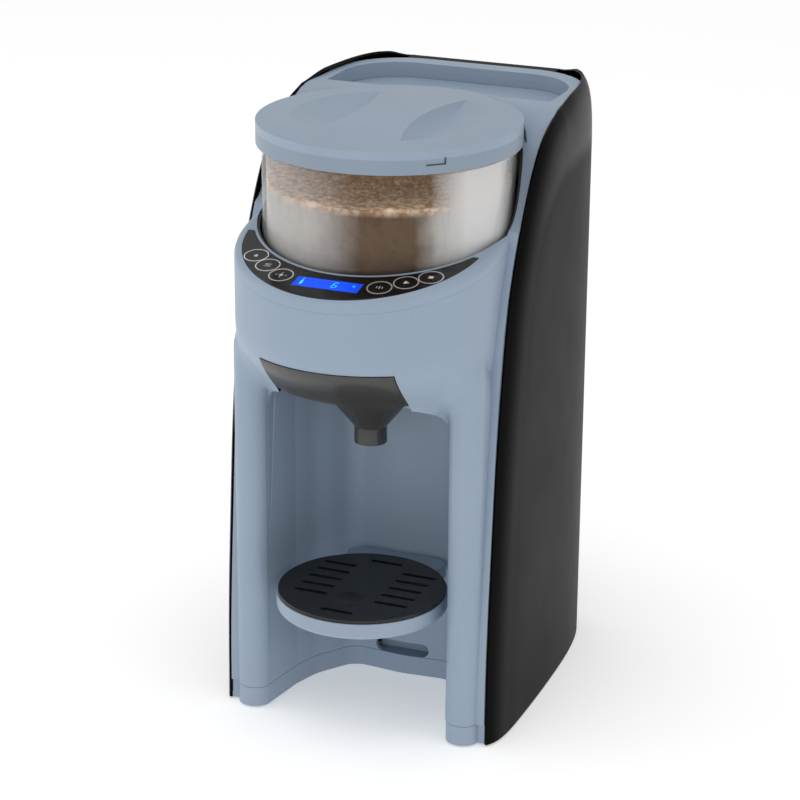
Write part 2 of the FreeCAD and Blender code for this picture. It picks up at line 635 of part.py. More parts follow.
def lid_lug(angle):
    """Bayonet lug inside the skirt."""
    ring = Part.makeCylinder(S.lid_radius - 1.5, S.lug_height, Vector(0, 0, 0))
    ring = ring.cut(Part.makeCylinder(S.container_radius + 0.4, S.lug_height, Vector(0, 0, 0)))
    wedge = Part.makeBox(200, 10, S.lug_height, Vector(0, -5, 0))
    lug = ring.common(wedge)
    at = Vector(0, S.container_y, S.lid_skirt_bottom + 0.2)
    lug.Placement = Placement(at, Rotation(Vector(0, 0, 1), angle))
    return lug


def lid_seal():
    """Silicone ring that plugs the container's mouth under a thin flange on its rim."""
    y, top = S.container_y, S.container_top
    bore = "container_radius - container_wall - 3.1"
    outer = cylinder("seal_outer", "container_radius - container_wall - 0.1", "1.6", (0, y, top - 1.5))
    plug = cut("seal_band", outer, cylinder("seal_inner", bore, "4", (0, y, top - 3)))
    sheet_disc = cylinder("seal_flange_outer", "container_radius - 0.2", "0.3", (0, y, top + 0.05))
    flange = cut("seal_flange", sheet_disc, cylinder("seal_flange_inner", bore, "3", (0, y, top - 1)))
    return node("lid_seal", fuse("lid_seal_solid", plug, flange))


# ---------------------------------------------------------------- drive

def gear_shape(teeth, bore):
    """Spur gear with straight-flanked trapezoid teeth, one tooth centred on +X."""
    pitch = S.gear_module * teeth / 2
    root, tip = pitch - 1.2 * S.gear_module, pitch + 0.95 * S.gear_module
    step = 2 * math.pi / teeth
    points = []
    for i in range(int(teeth)):
        middle = i * step
        for radius, share in ((root, -0.34), (tip, -0.12), (tip, 0.12), (root, 0.34)):
            angle = middle + share * step
            points.append(Vector(radius * math.cos(angle), radius * math.sin(angle), 0))
    points.append(points[0])
    shape = Part.Face(Part.makePolygon(points)).extrude(Vector(0, 0, S.gear_thickness))
    shape = shape.cut(Part.makeCylinder(bore, S.gear_thickness * 2, Vector(0, 0, -1)))
    return shape


def pinion_x():
    return S.gear_module * (S.gear_teeth + S.pinion_teeth) / 2


def drive():
    y = S.container_y
    gear = feature("drive_gear_solid", gear_shape(S.gear_teeth, S.shaft_radius))
    gear.Placement = Placement(Vector(0, y, S.gear_bottom), Rotation())
    node("drive_gear", gear)
    half_tooth = 180 + 180 / S.pinion_teeth
    pinion = feature("motor_pinion_solid", gear_shape(S.pinion_teeth, 2.0))
    pinion.Placement = Placement(Vector(pinion_x(), y, S.gear_bottom), Rotation(Vector(0, 0, 1), half_tooth))
    node("motor_pinion", pinion)
    node("motor_shaft", cylinder("motor_shaft_solid", "2", "gear_thickness + 4",
                                 (pinion_x(), y, S.gear_bottom - 3)))
    node("drive_shaft", cylinder("drive_shaft_solid", "shaft_radius", "container_bottom + 12 - gear_bottom",
                                 (0, y, S.gear_bottom - 2)))
    can_low = S.gear_bottom - 3.3 - S.motor_height
    body = cylinder("motor_can", "motor_radius", "motor_height", (pinion_x(), y, can_low))
    bore = cylinder("motor_bore", "2 + running_fit", "8", (pinion_x(), y, S.gear_bottom - 8))
    ears = box("motor_ears", "8", "motor_radius * 2 + 14", "2", (pinion_x(), y, S.gear_bottom - 3.3 - 2))
    node("gear_motor", cut("gear_motor_solid", fuse("motor_whole", body, ears), bore))


def chassis():
    y, top = S.container_y, S.chassis_top
    deck = disc(0, y, 70, top - S.chassis_thickness, top)
    deck = deck.fuse(Part.makeBox(140, 40, S.chassis_thickness, Vector(-70, -32, top - S.chassis_thickness)))
    wall = Part.makeBox(140, 3, top - S.plinth_top - 2, Vector(-70, 8, S.plinth_top + 2))
    ring = disc(0, y, 5 + S.shaft_radius, top - 7.6, top)
    frame = deck.fuse(wall).fuse(ring)
    frame = frame.cut(disc(0, y, S.shaft_radius + S.running_fit, 200, 300))
    frame = frame.cut(disc(0, S.outlet_y, S.outlet_radius + 0.1, 200, 300))
    frame = frame.cut(Part.makeBox(14, 10, 18, Vector(-57, 5, 196)))
    frame = frame.cut(Part.makeBox(2 * S.tray_slot_half, 10, 84, Vector(-S.tray_slot_half, 5, 0)))
    node("chassis", feature("chassis_solid", largest(frame)))
    posts = []
    for i, sign in enumerate((-1, 1)):
        at = (pinion_x(), y + sign * (S.motor_radius + 4), S.gear_bottom - 3.3)
        tall = "chassis_top - chassis_thickness - gear_bottom + 3.3"
        posts.append(cylinder(f"motor_post_{i}", "2.6", tall, at))
    node("motor_standoffs", fuse("motor_standoff_group", *posts))
    chute_outer = cylinder("chute_outer", "outlet_radius + 1.4", "20", (0, S.outlet_y, S.chassis_top - 23.1))
    chute_inner = cylinder("chute_inner", "outlet_radius", "24", (0, S.outlet_y, S.chassis_top - 24))
    node("powder_chute", cut("powder_chute_solid", chute_outer, chute_inner))


# ---------------------------------------------------------------- funnel

def funnel():
    """Smoky funnel: a curved plate that closes the chin, and a cone down to its spout."""
    half = S.funnel_plate_half
    outer = front_body(-0.6, 100, 300, 0)
    inner = front_body(-0.6 + S.funnel_shell, 90, 310, 20)
    plate = outer.cut(inner)
    plate = plate.common(Part.makeBox(2 * half, 120, S.funnel_plate_top - S.alcove_top - 4,
                                      Vector(-half, -150, S.alcove_top + 4)))
    y, mouth, neck = S.outlet_y, S.funnel_mouth_level, S.funnel_neck_level
    shell = S.funnel_shell
    bowl = Part.makeCone(S.spout_radius, S.funnel_mouth_radius, mouth - neck, Vector(0, y, neck))
    spout = Part.makeCylinder(S.spout_radius, neck - S.spout_bottom, Vector(0, y, S.spout_bottom))
    lip = [(-half + 6, -106), (-30, -22, 12), (30, -22, 12), (half - 6, -106)]
    tray = prism(lip, mouth, S.alcove_top + 8.5).cut(
        prism([(-half + 6 + shell, -120), (-30 + shell, -22 - shell, 10.5), (30 - shell, -22 - shell, 10.5),
               (half - 6 - shell, -120)], mouth + shell, 300))
    tray = tray.common(inner.common(Part.makeBox(300, 300, 60, Vector(-150, -200, 190))))
    whole = plate.fuse(tray).fuse(bowl).fuse(spout)
    hollow = Part.makeCone(S.spout_radius - shell, S.funnel_mouth_radius - shell, mouth - neck + shell + 0.5,
                           Vector(0, y, neck - 0.01))
    drill = disc(0, y, S.spout_radius - shell, S.spout_bottom - 1, neck + 1)
    whole = whole.cut(hollow).cut(drill)
    return node("mixing_funnel", feature("mixing_funnel_solid", largest(whole)))


# ---------------------------------------------------------------- bottle tray

def bottle_tray():
    y, top = S.tray_y, S.tray_top
    low = top - S.tray_depth
    cup = Part.makeCylinder(S.tray_radius + 0.9, S.tray_depth - S.grille_thickness, Vector(0, y, low))
    bottom_edges = [e for e in cup.Edges if abs(e.BoundBox.ZMax - low) < 0.01]
    cup = cup.makeFillet(3.5, bottom_edges)
    arm = prism([(-24, y + 22), (-31, -9), (-25, -2), (25, -2), (31, -9), (24, y + 22)], low + 2, top - 2.2)
    tongue = Part.makeBox(29, 9.5, 3.0, Vector(-14.5, -3, S.tray_slot_level - 0.4))
    hook = Part.makeBox(29, 1.8, 6.4, Vector(-14.5, 5.0, S.tray_slot_level - 3.8))
    cup = cup.fuse(arm).fuse(tongue).fuse(hook)
    hollow = Part.makeCylinder(S.tray_radius - S.tray_wall, 30, Vector(0, y, low + S.tray_wall))
    cup = cup.cut(hollow)
    ledge = Part.makeCylinder(S.tray_radius + 0.1, 30, Vector(0, y, top - S.grille_thickness - 0.01))
    cup = cup.cut(ledge.cut(Part.makeBox(200, 200, 200, Vector(-100, -12, 0))))
    return node("bottle_tray", feature("bottle_tray_solid", largest(cup)))


def drip_grille():
    y, top = S.tray_y, S.tray_top
    plate = cylinder("grille_disc", "tray_radius", "grille_thickness", (0, y, top - S.grille_thickness))
    slots = [slot(14.5, 35, S.tray_y - 17.2 + S.slot_pitch * row, side)
             for row in range(5) for side in (-1, 1)]
    slots += [slot(-10, 10, S.tray_y - 37.2, 1), slot(-10, 10, S.tray_y + 37.2, 1)]
    tool = feature("grille_slots", Part.makeCompound(slots))
    ball = (S.dimple_radius ** 2 + S.dimple_depth ** 2) / (2 * S.dimple_depth)
    dimple = feature("grille_dimple", Part.makeSphere(ball, Vector(0, y - 18.5, top + ball - S.dimple_depth)))
    return node("drip_grille", cut("drip_grille_solid", cut("grille_slotted", plate, tool), dimple))


def slot(near, far, y, side):
    """One round-ended slot through the grille, mirrored for the other side."""
    half = S.slot_width / 2
    points = [(near, y - half, half * 0.98), (far, y - half, half * 0.98),
              (far, y + half, half * 0.98), (near, y + half, half * 0.98)]
    if side < 0:
        points = [(-x, v, r) for x, v, r in reversed(points)]
    return prism(points, S.tray_top - 10, S.tray_top + 5)


# ---------------------------------------------------------------- water tank

def water_tank():
    w = S.tank_wall
    outer = crescent_plan(S.tank_front_radius, S.tank_half_width, S.tank_rear, S.tank_corner,
                          S.tank_bottom, S.tank_top)
    inner = crescent_plan(S.tank_front_radius + w, S.tank_half_width - w, S.tank_rear - w, S.tank_corner - w,
                          S.tank_bottom + w, S.tank_top + 5, TANK_FRONT + w)
    port = Part.makeCylinder(8, 9, Vector(0, S.tank_port_y, S.tank_bottom - 8))
    tank = outer.cut(inner).fuse(port)
    tank = tank.cut(disc(0, S.tank_port_y, 5.4, S.tank_bottom - 20, S.tank_bottom + 20))
    return node("water_tank", feature("water_tank_solid", largest(tank)))


def tank_lid():
    """Lid that rests on the tank's rim, flush in the recess, with a finger notch at its front."""
    low, high, rim = S.tank_top + 0.1, S.recess_floor, S.tank_lid_rim
    half, rear, corner = S.recess_half_width - 0.5, S.recess_rear - 0.5, S.recess_corner - 0.5
    whole = crescent_plan(S.tank_front_radius + 0.6, half, rear, corner, low, high)
    hollow = crescent_plan(S.tank_front_radius + 0.6 + rim, half - rim, rear - rim, corner - rim,
                           low - 1, high - S.tank_lid_thickness, TANK_FRONT + rim)
    notch = disc(0, S.container_y + S.tank_front_radius - 8, 15, low - 5, high + 5)
    lid = whole.cut(hollow).cut(notch)
    return node("tank_lid", feature("tank_lid_solid", largest(lid)))


def tank_valve():
    y, low = S.tank_port_y, S.tank_bottom
    cup = cylinder("seat_cup", "15", "tank_bottom - 6 - floor_gap - wall", (0, y, S.floor_gap + S.wall))
    hollow = cylinder("seat_hollow", "8.6", "12", (0, y, low - 10))
    pin = cylinder("seat_pin", "2", "12", (0, y, low - 20))
    node("tank_seat", fuse("tank_seat_solid", cut("seat_shell", cup, hollow), pin))
    ring = doc.addObject("Part::Torus", "tank_seal_solid")
    bound(ring, Radius1="6.7", Radius2="0.7")
    moved(ring, (0, y, low - 9.3))
    node("tank_seal", ring)
    head = cylinder("valve_head", "7.4", "2", (0, y, low + S.tank_wall + 0.05))
    stem = cylinder("valve_stem", "2.2", "8.6", (0, y, low + S.tank_wall - 8))
    node("tank_valve", fuse("tank_valve_solid", head, stem))


# ---------------------------------------------------------------- water path and electrics

def tube_along(points, radius, bend):
    """Round hose: straight runs joined by tangent arcs."""
    vectors = [Vector(*p) for p in points]
    edges, start = [], vectors[0]
    for i in range(1, len(vectors) - 1):
        corner = vectors[i]
        to_last = (vectors[i - 1] - corner).normalize()
        to_next = (vectors[i + 1] - corner).normalize()
        half = to_last.getAngle(to_next) / 2
        back = bend / math.tan(half)
        first, last = corner + to_last * back, corner + to_next * back
        middle = (to_last + to_next).normalize()
        top = corner + middle * (bend / math.sin(half) - bend)
        edges.append(Part.makeLine(start, first))
        edges.append(Part.Arc(first, top, last).toShape())
        start = last
    edges.append(Part.makeLine(start, vectors[-1]))
    path = Part.Wire(edges)
    direction = (vectors[1] - vectors[0]).normalize()
    ring = Part.Wire(Part.makeCircle(radius, vectors[0], direction))
    return path.makePipeShell([ring], True, False)


def water_path():
    floor = S.floor_gap + S.wall
    pump = box("pump_block", "34", "26", "30", (22, 28, floor))
    pump_head = cylinder("pump_head", "12", "16", (22, 28, floor + 30))
    node("water_pump", fuse("water_pump_solid", pump, pump_head))
    heater = box("heater_block", "32", "26", "104", (-22, 28, 70))
    fins = [box(f"heater_fin_{i}", "36", "30", "2.4", (-22, 28, 80 + 14 * i)) for i in range(7)]
    node("flow_heater", fuse("flow_heater_solid", heater, *fins))
    brackets = [box(f"heater_bracket_{i}", "20", "3.9", "8", (-22, 13.0, z)) for i, z in enumerate((84, 154))]
    node("heater_brackets", fuse("heater_bracket_group", *brackets))
    hoses = {
        "suction_hose": ([(15.1, S.tank_port_y, 20), (46, S.tank_port_y, 20), (46, 52, 20), (22, 54, 24),
                          (22, 41.1, 24)], 6),
        "pressure_hose": ([(22, 28, floor + 46.1), (22, 28, 84), (10, 30, 130), (0, 30, 186), (-22, 28, 196),
                           (-22, 28, 174.1)], 6),
        "outlet_hose": ([(-38.1, 28, 170.7), (-54, 28, 170.7), (-54, 24, 196), (-40, -30, 228), (-14, -66, 240),
                         (0, -74, 240), (0, -74, 225.9)], 5),
    }
    for name, (route, bend) in hoses.items():
        node(name, feature(name + "_solid", tube_along(route, 2.6, bend)))
    nozzle = fuse("nozzle_whole", cylinder("nozzle_body", "5", "9", (0, -74, 216.8)),
                  cone("nozzle_tip", "2.4", "4", "3", (0, -74, 213.8)))
    bore = cylinder("nozzle_bore", "1.4", "20", (0, -74, 210))
    node("water_nozzle", cut("water_nozzle_solid", nozzle, bore))


def electrics():
    board = box("power_board_plate", "44", "1.6", "88", (46, 14.6, 92))
    parts = [box("supply_block", "30", "12", "20", (46, 21.4, 100)),
             box("relay", "14", "12", "14", (36, 21.4, 132)),
             cylinder("capacitor", "6", "20", (58, 21.3, 140))]
    corners = [(x, z) for x in (27, 65) for z in (96, 176)]
    turn = Rotation(Vector(1, 0, 0), -90)
    holes = [cylinder(f"board_hole_{i}", "1.45", "8", (x, 12, z), turn) for i, (x, z) in enumerate(corners)]
    whole = fuse("power_board_whole", board, *parts)
    node("power_board", cut("power_board_solid", whole, fuse("board_holes", *holes)))
    posts = [cut(f"standoff_{i}", cylinder(f"standoff_post_{i}", "3", "2.7", (x, 11.05, z), turn),
                 cylinder(f"standoff_bore_{i}", "1.45", "8", (x, 8, z), turn))
             for i, (x, z) in enumerate(corners)]
    node("board_standoffs", fuse("board_standoff_group", *posts))
    screws = [fuse(f"board_screw_{i}", cylinder(f"screw_shank_{i}", "1.4", "4.6", (x, 11.1, z), turn),
                   cylinder(f"screw_head_{i}", "screw_head_radius - 0.4", "screw_head_height - 0.4",
                            (x, 15.45, z), turn))
              for i, (x, z) in enumerate(corners)]
    node("board_screws", fuse("board_screw_group", *screws))
    socket = box("inlet_body", "27", "19.6", "20", (-20, S.side_rear - 11, 25))
    flange = box("inlet_flange", "31", "1.6", "24", (-20, S.side_rear - 0.8, 23))
    mouth = box("inlet_mouth", "21", "20", "13", (-20, S.side_rear - 7, 28.5))
    pins = [cylinder(f"inlet_pin_{i}", "1.6", "16", (-20 + x, S.side_rear - 20, 35), turn)
            for i, x in enumerate((-5, 5))]
    shell = cut("inlet_shell", fuse("inlet_outer", socket, flange), mouth)
    node("power_inlet", fuse("power_inlet_solid", shell, *pins))
    frame = box("switch_body", "19", "16", "13", (24, S.side_rear - 8.5, 28.5))
    rim = box("switch_rim", "22", "1.6", "16", (24, S.side_rear - 0.8, 27))
    hole = box("switch_hole", "16", "14", "10.4", (24, S.side_rear - 6.2, 29.8))
    node("switch_frame", cut("switch_frame_solid", fuse("switch_outer", frame, rim), hole))
    rocker = Part.makeCylinder(6.0, 15.2, Vector(16.4, S.side_rear - 5.2, 35), Vector(1, 0, 0))
    keep = Part.makeBox(20, 20, 8.6, Vector(14, S.side_rear - 12, 30.7))
    rocker = rocker.common(keep)
    valley = Part.makeCylinder(20, 20, Vector(14, S.side_rear + 19.4, 35), Vector(1, 0, 0))
    node("power_switch", feature("power_switch_solid", rocker.cut(valley)))


def build():
    base_plate()
    rubber_feet()
    front_housing()
    top_housing()
    container_well()
    black_panels()
    control_panel()
    powder_container()
    powder_wheel()
    powder_lid()
    lid_seal()
    drive()
    chassis()
    funnel()
    bottle_tray()
    drip_grille()
    water_tank()
    tank_lid()
    tank_valve()
    water_path()
    electrics()


build()
doc.recompute()
for obj in doc.Objects:
    for state in obj.State:
        if state in ("Invalid", "Error"):
            raise RuntimeError(f"{obj.Name} failed: {obj.State}")
os.makedirs("parts", exist_ok=True)
for obj in NODES:
    shape = obj.Shape
    if shape.isNull() or not shape.isValid():
        raise RuntimeError(f"{obj.Label} is not a valid shape")
    print(f"{obj.Label:20s} solids {len(shape.Solids)}  volume {shape.Volume:12.1f}")
    shape.exportStep(f"parts/{obj.Label}.step")
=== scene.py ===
import math

import bpy
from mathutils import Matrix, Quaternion, Vector, noise


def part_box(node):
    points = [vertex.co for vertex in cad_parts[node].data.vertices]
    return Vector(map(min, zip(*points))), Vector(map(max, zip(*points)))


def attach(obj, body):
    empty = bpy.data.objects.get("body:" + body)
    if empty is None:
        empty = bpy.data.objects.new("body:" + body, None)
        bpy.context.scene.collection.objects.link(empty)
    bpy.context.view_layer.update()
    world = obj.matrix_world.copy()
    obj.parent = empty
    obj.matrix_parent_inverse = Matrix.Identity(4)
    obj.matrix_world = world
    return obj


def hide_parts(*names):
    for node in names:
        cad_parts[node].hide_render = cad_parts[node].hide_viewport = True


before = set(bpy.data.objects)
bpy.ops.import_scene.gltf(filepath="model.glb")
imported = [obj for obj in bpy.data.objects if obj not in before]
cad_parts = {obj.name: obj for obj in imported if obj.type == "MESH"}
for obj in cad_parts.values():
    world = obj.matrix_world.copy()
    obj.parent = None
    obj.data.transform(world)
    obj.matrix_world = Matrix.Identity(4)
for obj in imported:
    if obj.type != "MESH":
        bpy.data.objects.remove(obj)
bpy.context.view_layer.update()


# ------------------------------------------------------------------ camera, floor and light
# The machine stands on a plain pale floor between two tall soft boxes, with a third overhead,
# and is seen from its right front, a little above.

view_back = Vector((0.36638, -0.85715, 0.36203))
camera_data = bpy.data.cameras.new("camera")
camera_data.lens = 126.82
camera_data.sensor_width = 36
camera_data.shift_x = 0.0572
camera_data.shift_y = 0.0779
camera = bpy.data.objects.new("camera", camera_data)
camera.location = (0.579865, -1.430160, 0.736448)
camera.rotation_euler = (-view_back).to_track_quat("-Z", "Y").to_euler()
bpy.context.scene.collection.objects.link(camera)
bpy.context.scene.camera = camera
bpy.context.scene.view_settings.view_transform = "Standard"

for chosen in bpy.context.selected_objects:
    chosen.select_set(False)
bpy.ops.mesh.primitive_plane_add(size=14, location=(0, 0, 0))
floor = bpy.context.object
floor.name = "floor"


def soft_box(name, place, target, width, height, power):
    """A large rectangular light facing the target."""
    data = bpy.data.lights.new(name, "AREA")
    data.shape = "RECTANGLE"
    data.size, data.size_y, data.energy = width, height, power
    light = bpy.data.objects.new(name, data)
    light.location = place
    light.rotation_euler = (Vector(target) - Vector(place)).to_track_quat("-Z", "Y").to_euler()
    bpy.context.scene.collection.objects.link(light)


soft_box("soft_box_left", (-1.5, -0.55, 0.75), (0, 0, 0.2), 0.9, 1.7, 3.5)
soft_box("soft_box_right", (1.6, -0.35, 0.8), (0, 0, 0.2), 0.6, 1.5, 2)
soft_box("soft_box_top", (0.0, -0.5, 2.2), (0, 0, 0.2), 1.2, 1.2, 7)
soft_box("soft_box_front", (0.0, -2.7, 0.5), (0, 0, 0.2), 1.2, 0.9, 6.5)

world = bpy.data.worlds.new("studio")
world.use_nodes = True
world.node_tree.nodes["Background"].inputs["Color"].default_value = (1.0, 1.0, 1.0, 1)
world.node_tree.nodes["Background"].inputs["Strength"].default_value = 0.66
bpy.context.scene.world = world


class Tone:
    """A shader socket that can stand in sums and products."""

    def __init__(self, finish, socket):
        self.finish = finish
        self.socket = socket

    def _sum(self, operation, first, second):
        return self.finish.node("ShaderNodeMath", {"operation": operation}, {0: first, 1: second})

    def __add__(self, other):
        return self._sum("ADD", self, other)

    __radd__ = __add__

    def __sub__(self, other):
        return self._sum("SUBTRACT", self, other)

    def __rsub__(self, other):
        return self._sum("SUBTRACT", other, self)

    def __mul__(self, other):
        return self._sum("MULTIPLY", self, other)

    def __pow__(self, other):
        return self._sum("POWER", self, other)


class Finish:
    """One procedural material, from its shader outwards."""

    def __init__(self, name, **constants):
        self.material = bpy.data.materials.new(name)
        self.material.use_nodes = True
        self.tree = self.material.node_tree
        self.shader = self.tree.nodes["Principled BSDF"]
        for socket, value in constants.items():
            self.shader.inputs[socket.replace("_", " ")].default_value = value
        self.place = self.node("ShaderNodeTexCoord", out="Object")

    def node(self, kind, settings=None, values=None, out=0):
        """Any node: its settings are made first, then its sockets are filled or linked."""
        made = self.tree.nodes.new(kind)
        for name, value in (settings or {}).items():
            setattr(made, name, value)
        for socket, value in (values or {}).items():
            self.fill(made.inputs[socket], value)
        return Tone(self, made.outputs[out])

    def fill(self, socket, value):
        if isinstance(value, Tone):
            self.tree.links.new(value.socket, socket)
        else:
            socket.default_value = value

    def feed(self, **inputs):
        for socket, value in inputs.items():
            self.fill(self.shader.inputs[socket.replace("_", " ")], value)

    def noise(self, scale, detail=2.0, stretch=(1, 1, 1)):
        stretched = self.node("ShaderNodeVectorMath", {"operation": "MULTIPLY"}, {0: self.place, 1: stretch})
        return self.node("ShaderNodeTexNoise", values={"Vector": stretched, "Scale": scale, "Detail": detail})

    def between(self, tone, low, high):
        """The tone stretched so that low becomes 0 and high 1."""
        return self.node("ShaderNodeMapRange", values={"Value": tone, "From Min": low, "From Max": high})

    def shades(self, factor, first, second):
        """A colour between two others, each of them three numbers or a tone."""
        ends = [shade if isinstance(shade, Tone) else (*shade, 1) for shade in (first, second)]
        return self.node("ShaderNodeMix", {"data_type": "RGBA"}, {0: factor, 6: ends[0], 7: ends[1]}, 2)

    def height(self):
        """How high each point lies above the origin."""
        return self.node("ShaderNodeSeparateXYZ", values={0: self.place}, out=2)

    def heading(self, place, direction):
        """How far a place lies along a direction."""
        return self.node("ShaderNodeVectorMath", {"operation": "DOT_PRODUCT"},
                         {0: place, 1: direction}, "Value")

    def see_through(self, cover, colour):
        """Let part of the light straight through: cover 1 is solid, and 0 is clear."""
        through = self.node("ShaderNodeBsdfTransparent", values={"Color": (*colour, 1)})
        mixed = self.node("ShaderNodeMixShader", values={0: cover, 1: through})
        self.tree.links.new(self.shader.outputs[0], mixed.socket.node.inputs[2])
        self.tree.links.new(mixed.socket, self.tree.nodes["Material Output"].inputs["Surface"])

    def bump(self, height, distance, strength):
        self.feed(Normal=self.node("ShaderNodeBump", values={
            "Height": height, "Distance": distance, "Strength": strength}))


def dress(material, *names):
    """Give CAD nodes their finish."""
    for name in names:
        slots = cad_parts[name].data.materials
        slots.clear()
        slots.append(material)


def only(piece):
    """Make one piece the selected and active one."""
    bpy.ops.object.select_all(action="DESELECT")
    piece.select_set(True)
    bpy.context.view_layer.objects.active = piece


def settle(piece, name, material, body):
    """Name a finished piece, bake its place into its mesh and let it ride on its body."""
    only(piece)
    bpy.ops.object.transform_apply(location=True, rotation=True, scale=True)
    piece.name = piece.data.name = name
    piece.data.materials.clear()
    piece.data.materials.append(material)
    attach(piece, body)


pale = Finish("pale_floor", Base_Color=(0.93, 0.93, 0.93, 1), Specular_IOR_Level=0.1,
              Emission_Color=(1, 1, 1, 1), Emission_Strength=0.32)
pale.feed(Roughness=0.75 + pale.noise(3.0) * 0.12)
floor.data.materials.append(pale.material)


# ------------------------------------------------------------------ base, housings and feet
# The blue shells are moulded ABS with a fine spark-eroded skin, a little glossier where hands
# rub it. The base plate screws up from below, and its four rubber feet are pressed in.

def blue_abs(name, painted_shade_below=0.0):
    """Sparked blue plastic; the lid's skirt gets a painted shade where it sits down inside the clear rim."""
    finish = Finish(name, Specular_IOR_Level=0.42)
    drift = finish.between(finish.noise(14.0, 4.0), 0.3, 0.7)
    fleck = finish.between(finish.noise(900.0, 2.0), 0.35, 0.65)
    colour = finish.shades(drift * 0.55 + fleck * 0.45, (0.268, 0.342, 0.432), (0.292, 0.368, 0.462))
    handled = finish.between(finish.noise(26.0, 5.0), 0.45, 0.75)
    skin = finish.noise(2400.0, 3.0)
    if painted_shade_below:
        # painted shade: below this height the skirt is darkened towards grey
        painted_shade = 1 - finish.between(finish.height(), painted_shade_below - 0.0006, painted_shade_below)
        colour = finish.shades(painted_shade * 0.28, colour, (0.115, 0.130, 0.150))
    finish.feed(Base_Color=colour, Roughness=0.40 - handled * 0.07 + fleck * 0.03)
    finish.bump(skin, 0.00003, 0.55)
    return finish.material


def moulded_grey(name, shade):
    """Unpainted inner plastic: flow marks and a coarse tool finish."""
    finish = Finish(name)
    flow = finish.between(finish.noise(60.0, 4.0, (1, 1, 0.2)), 0.3, 0.7)
    finish.feed(Base_Color=finish.shades(flow, [0.85 * part for part in shade], shade),
                Roughness=0.46 + flow * 0.12)
    finish.bump(finish.noise(1500.0, 3.0), 0.00004, 0.6)
    return finish.material


def soft_rubber(name, shade):
    finish = Finish(name)
    dust = finish.between(finish.noise(300.0, 5.0), 0.55, 0.8)
    finish.feed(Base_Color=finish.shades(dust, shade, [min(1, 1.4 * part + 0.02) for part in shade]),
                Roughness=0.62 + dust * 0.2)
    finish.bump(finish.noise(2600.0, 2.0), 0.00003, 0.7)
    return finish.material


housing_blue = blue_abs("blue_abs")
inner_grey = moulded_grey("inner_grey", (0.028, 0.028, 0.030))
dress(housing_blue, "base_plate", "front_housing", "top_housing")
dress(inner_grey, "container_well", "chassis", "powder_chute", "tank_seat")
dress(soft_rubber("foot_rubber", (0.03, 0.03, 0.03)), "rubber_feet")


# ------------------------------------------------------------------ pillar tops
# The fascia flows down into the two pillars without an edge. Each pillar's top is a smooth
# blend between the round fascia, the chin that slopes in below it and the pillar's round nose.

fascia_radius, fascia_y = 0.0755, -0.0505
nose_radius, nose_x, nose_y = 0.0099, 0.0656, -0.0681
chin_sweep = [(0.186, 0.0345), (0.198, 0.0330), (0.206, 0.0264), (0.214, 0.0184), (0.222, 0.0106),
              (0.228, 0.0056), (0.233, 0.0024), (0.238, 0.0006), (0.243, 0.0), (0.250, 0.0)]
blend_start = Vector((0.060, -0.054))
blend_low, blend_high, blend_width = 0.190, 0.246, 0.017
blend_first_turn, blend_last_turn = -128, 18
pillar_sinks, under_surface = 0.0046, 0.00016
alcove_half, alcove_top, alcove_corner = 0.056, 0.2046, 0.020


def whole_mesh(*steps):
    """Edit mode on the active piece: select all of it before each step."""
    bpy.ops.object.mode_set(mode="EDIT")
    for step in steps:
        bpy.ops.mesh.select_all(action="SELECT")
        step()
    bpy.ops.object.mode_set(mode="OBJECT")


def outward():
    """Turn every face of the selection to look outwards."""
    bpy.ops.mesh.normals_make_consistent(inside=False)


def pushed(x, y, z):
    """A step that extrudes what is selected."""
    return lambda: bpy.ops.mesh.extrude_region_move(TRANSFORM_OT_translate={"value": (x, y, z)})


def grid_sheet(columns, rows):
    """A sheet of columns by rows of vertices, to be bent into shape."""
    bpy.ops.object.select_all(action="DESELECT")
    bpy.ops.mesh.primitive_grid_add(x_subdivisions=columns - 1, y_subdivisions=rows - 1, size=1)
    return bpy.context.object


def modified(piece, kind, **settings):
    """Add one modifier to a piece and apply it."""
    only(piece)
    modifier = piece.modifiers.new(kind.lower(), kind)
    for name, value in settings.items():
        setattr(modifier, name, value)
    bpy.ops.object.modifier_apply(modifier=modifier.name)


def middle_face(piece):
    """The face half-way through a sheet, which tells which way the sheet looks."""
    return piece.data.polygons[len(piece.data.polygons) // 2]


def chin_setback(z):
    """How far the chin has drawn back at a height."""
    for (z1, back1), (z2, back2) in zip(chin_sweep, chin_sweep[1:]):
        if z <= z2:
            return back1 + (back2 - back1) * (z - z1) / (z2 - z1)
    return 0.0


def ray_to_circle(direction, middle, radius):
    """Distance from the blend's core out to a circle round it."""
    offset = blend_start - middle
    along = offset.dot(direction)
    inside = along ** 2 - offset.length_squared + radius ** 2
    return -along + math.sqrt(max(0.0, inside))


def reach_of_fascia(direction, z):
    """Distance from the blend's core out to the fascia, the chin or the straight side."""
    reach = ray_to_circle(direction, Vector((0, fascia_y + chin_setback(z))), fascia_radius)
    if direction.x > 0:
        side_reach = (fascia_radius - blend_start.x) / direction.x
        if blend_start.y + side_reach * direction.y >= fascia_y:
            return side_reach
    return reach


def reach_of_pillar(direction):
    """Distance from the blend's core out to the pillar's flat sides or its round nose."""
    if abs(direction.x) > 1e-6:
        wall = nose_x + math.copysign(nose_radius, direction.x)
        wall_reach = (wall - blend_start.x) / direction.x
        if blend_start.y + wall_reach * direction.y >= nose_y:
            return wall_reach
    return ray_to_circle(direction, Vector((nose_x, nose_y)), nose_radius)


def smooth_step(share):
    share = max(0.0, min(1.0, share))
    return share * share * (3 - 2 * share)


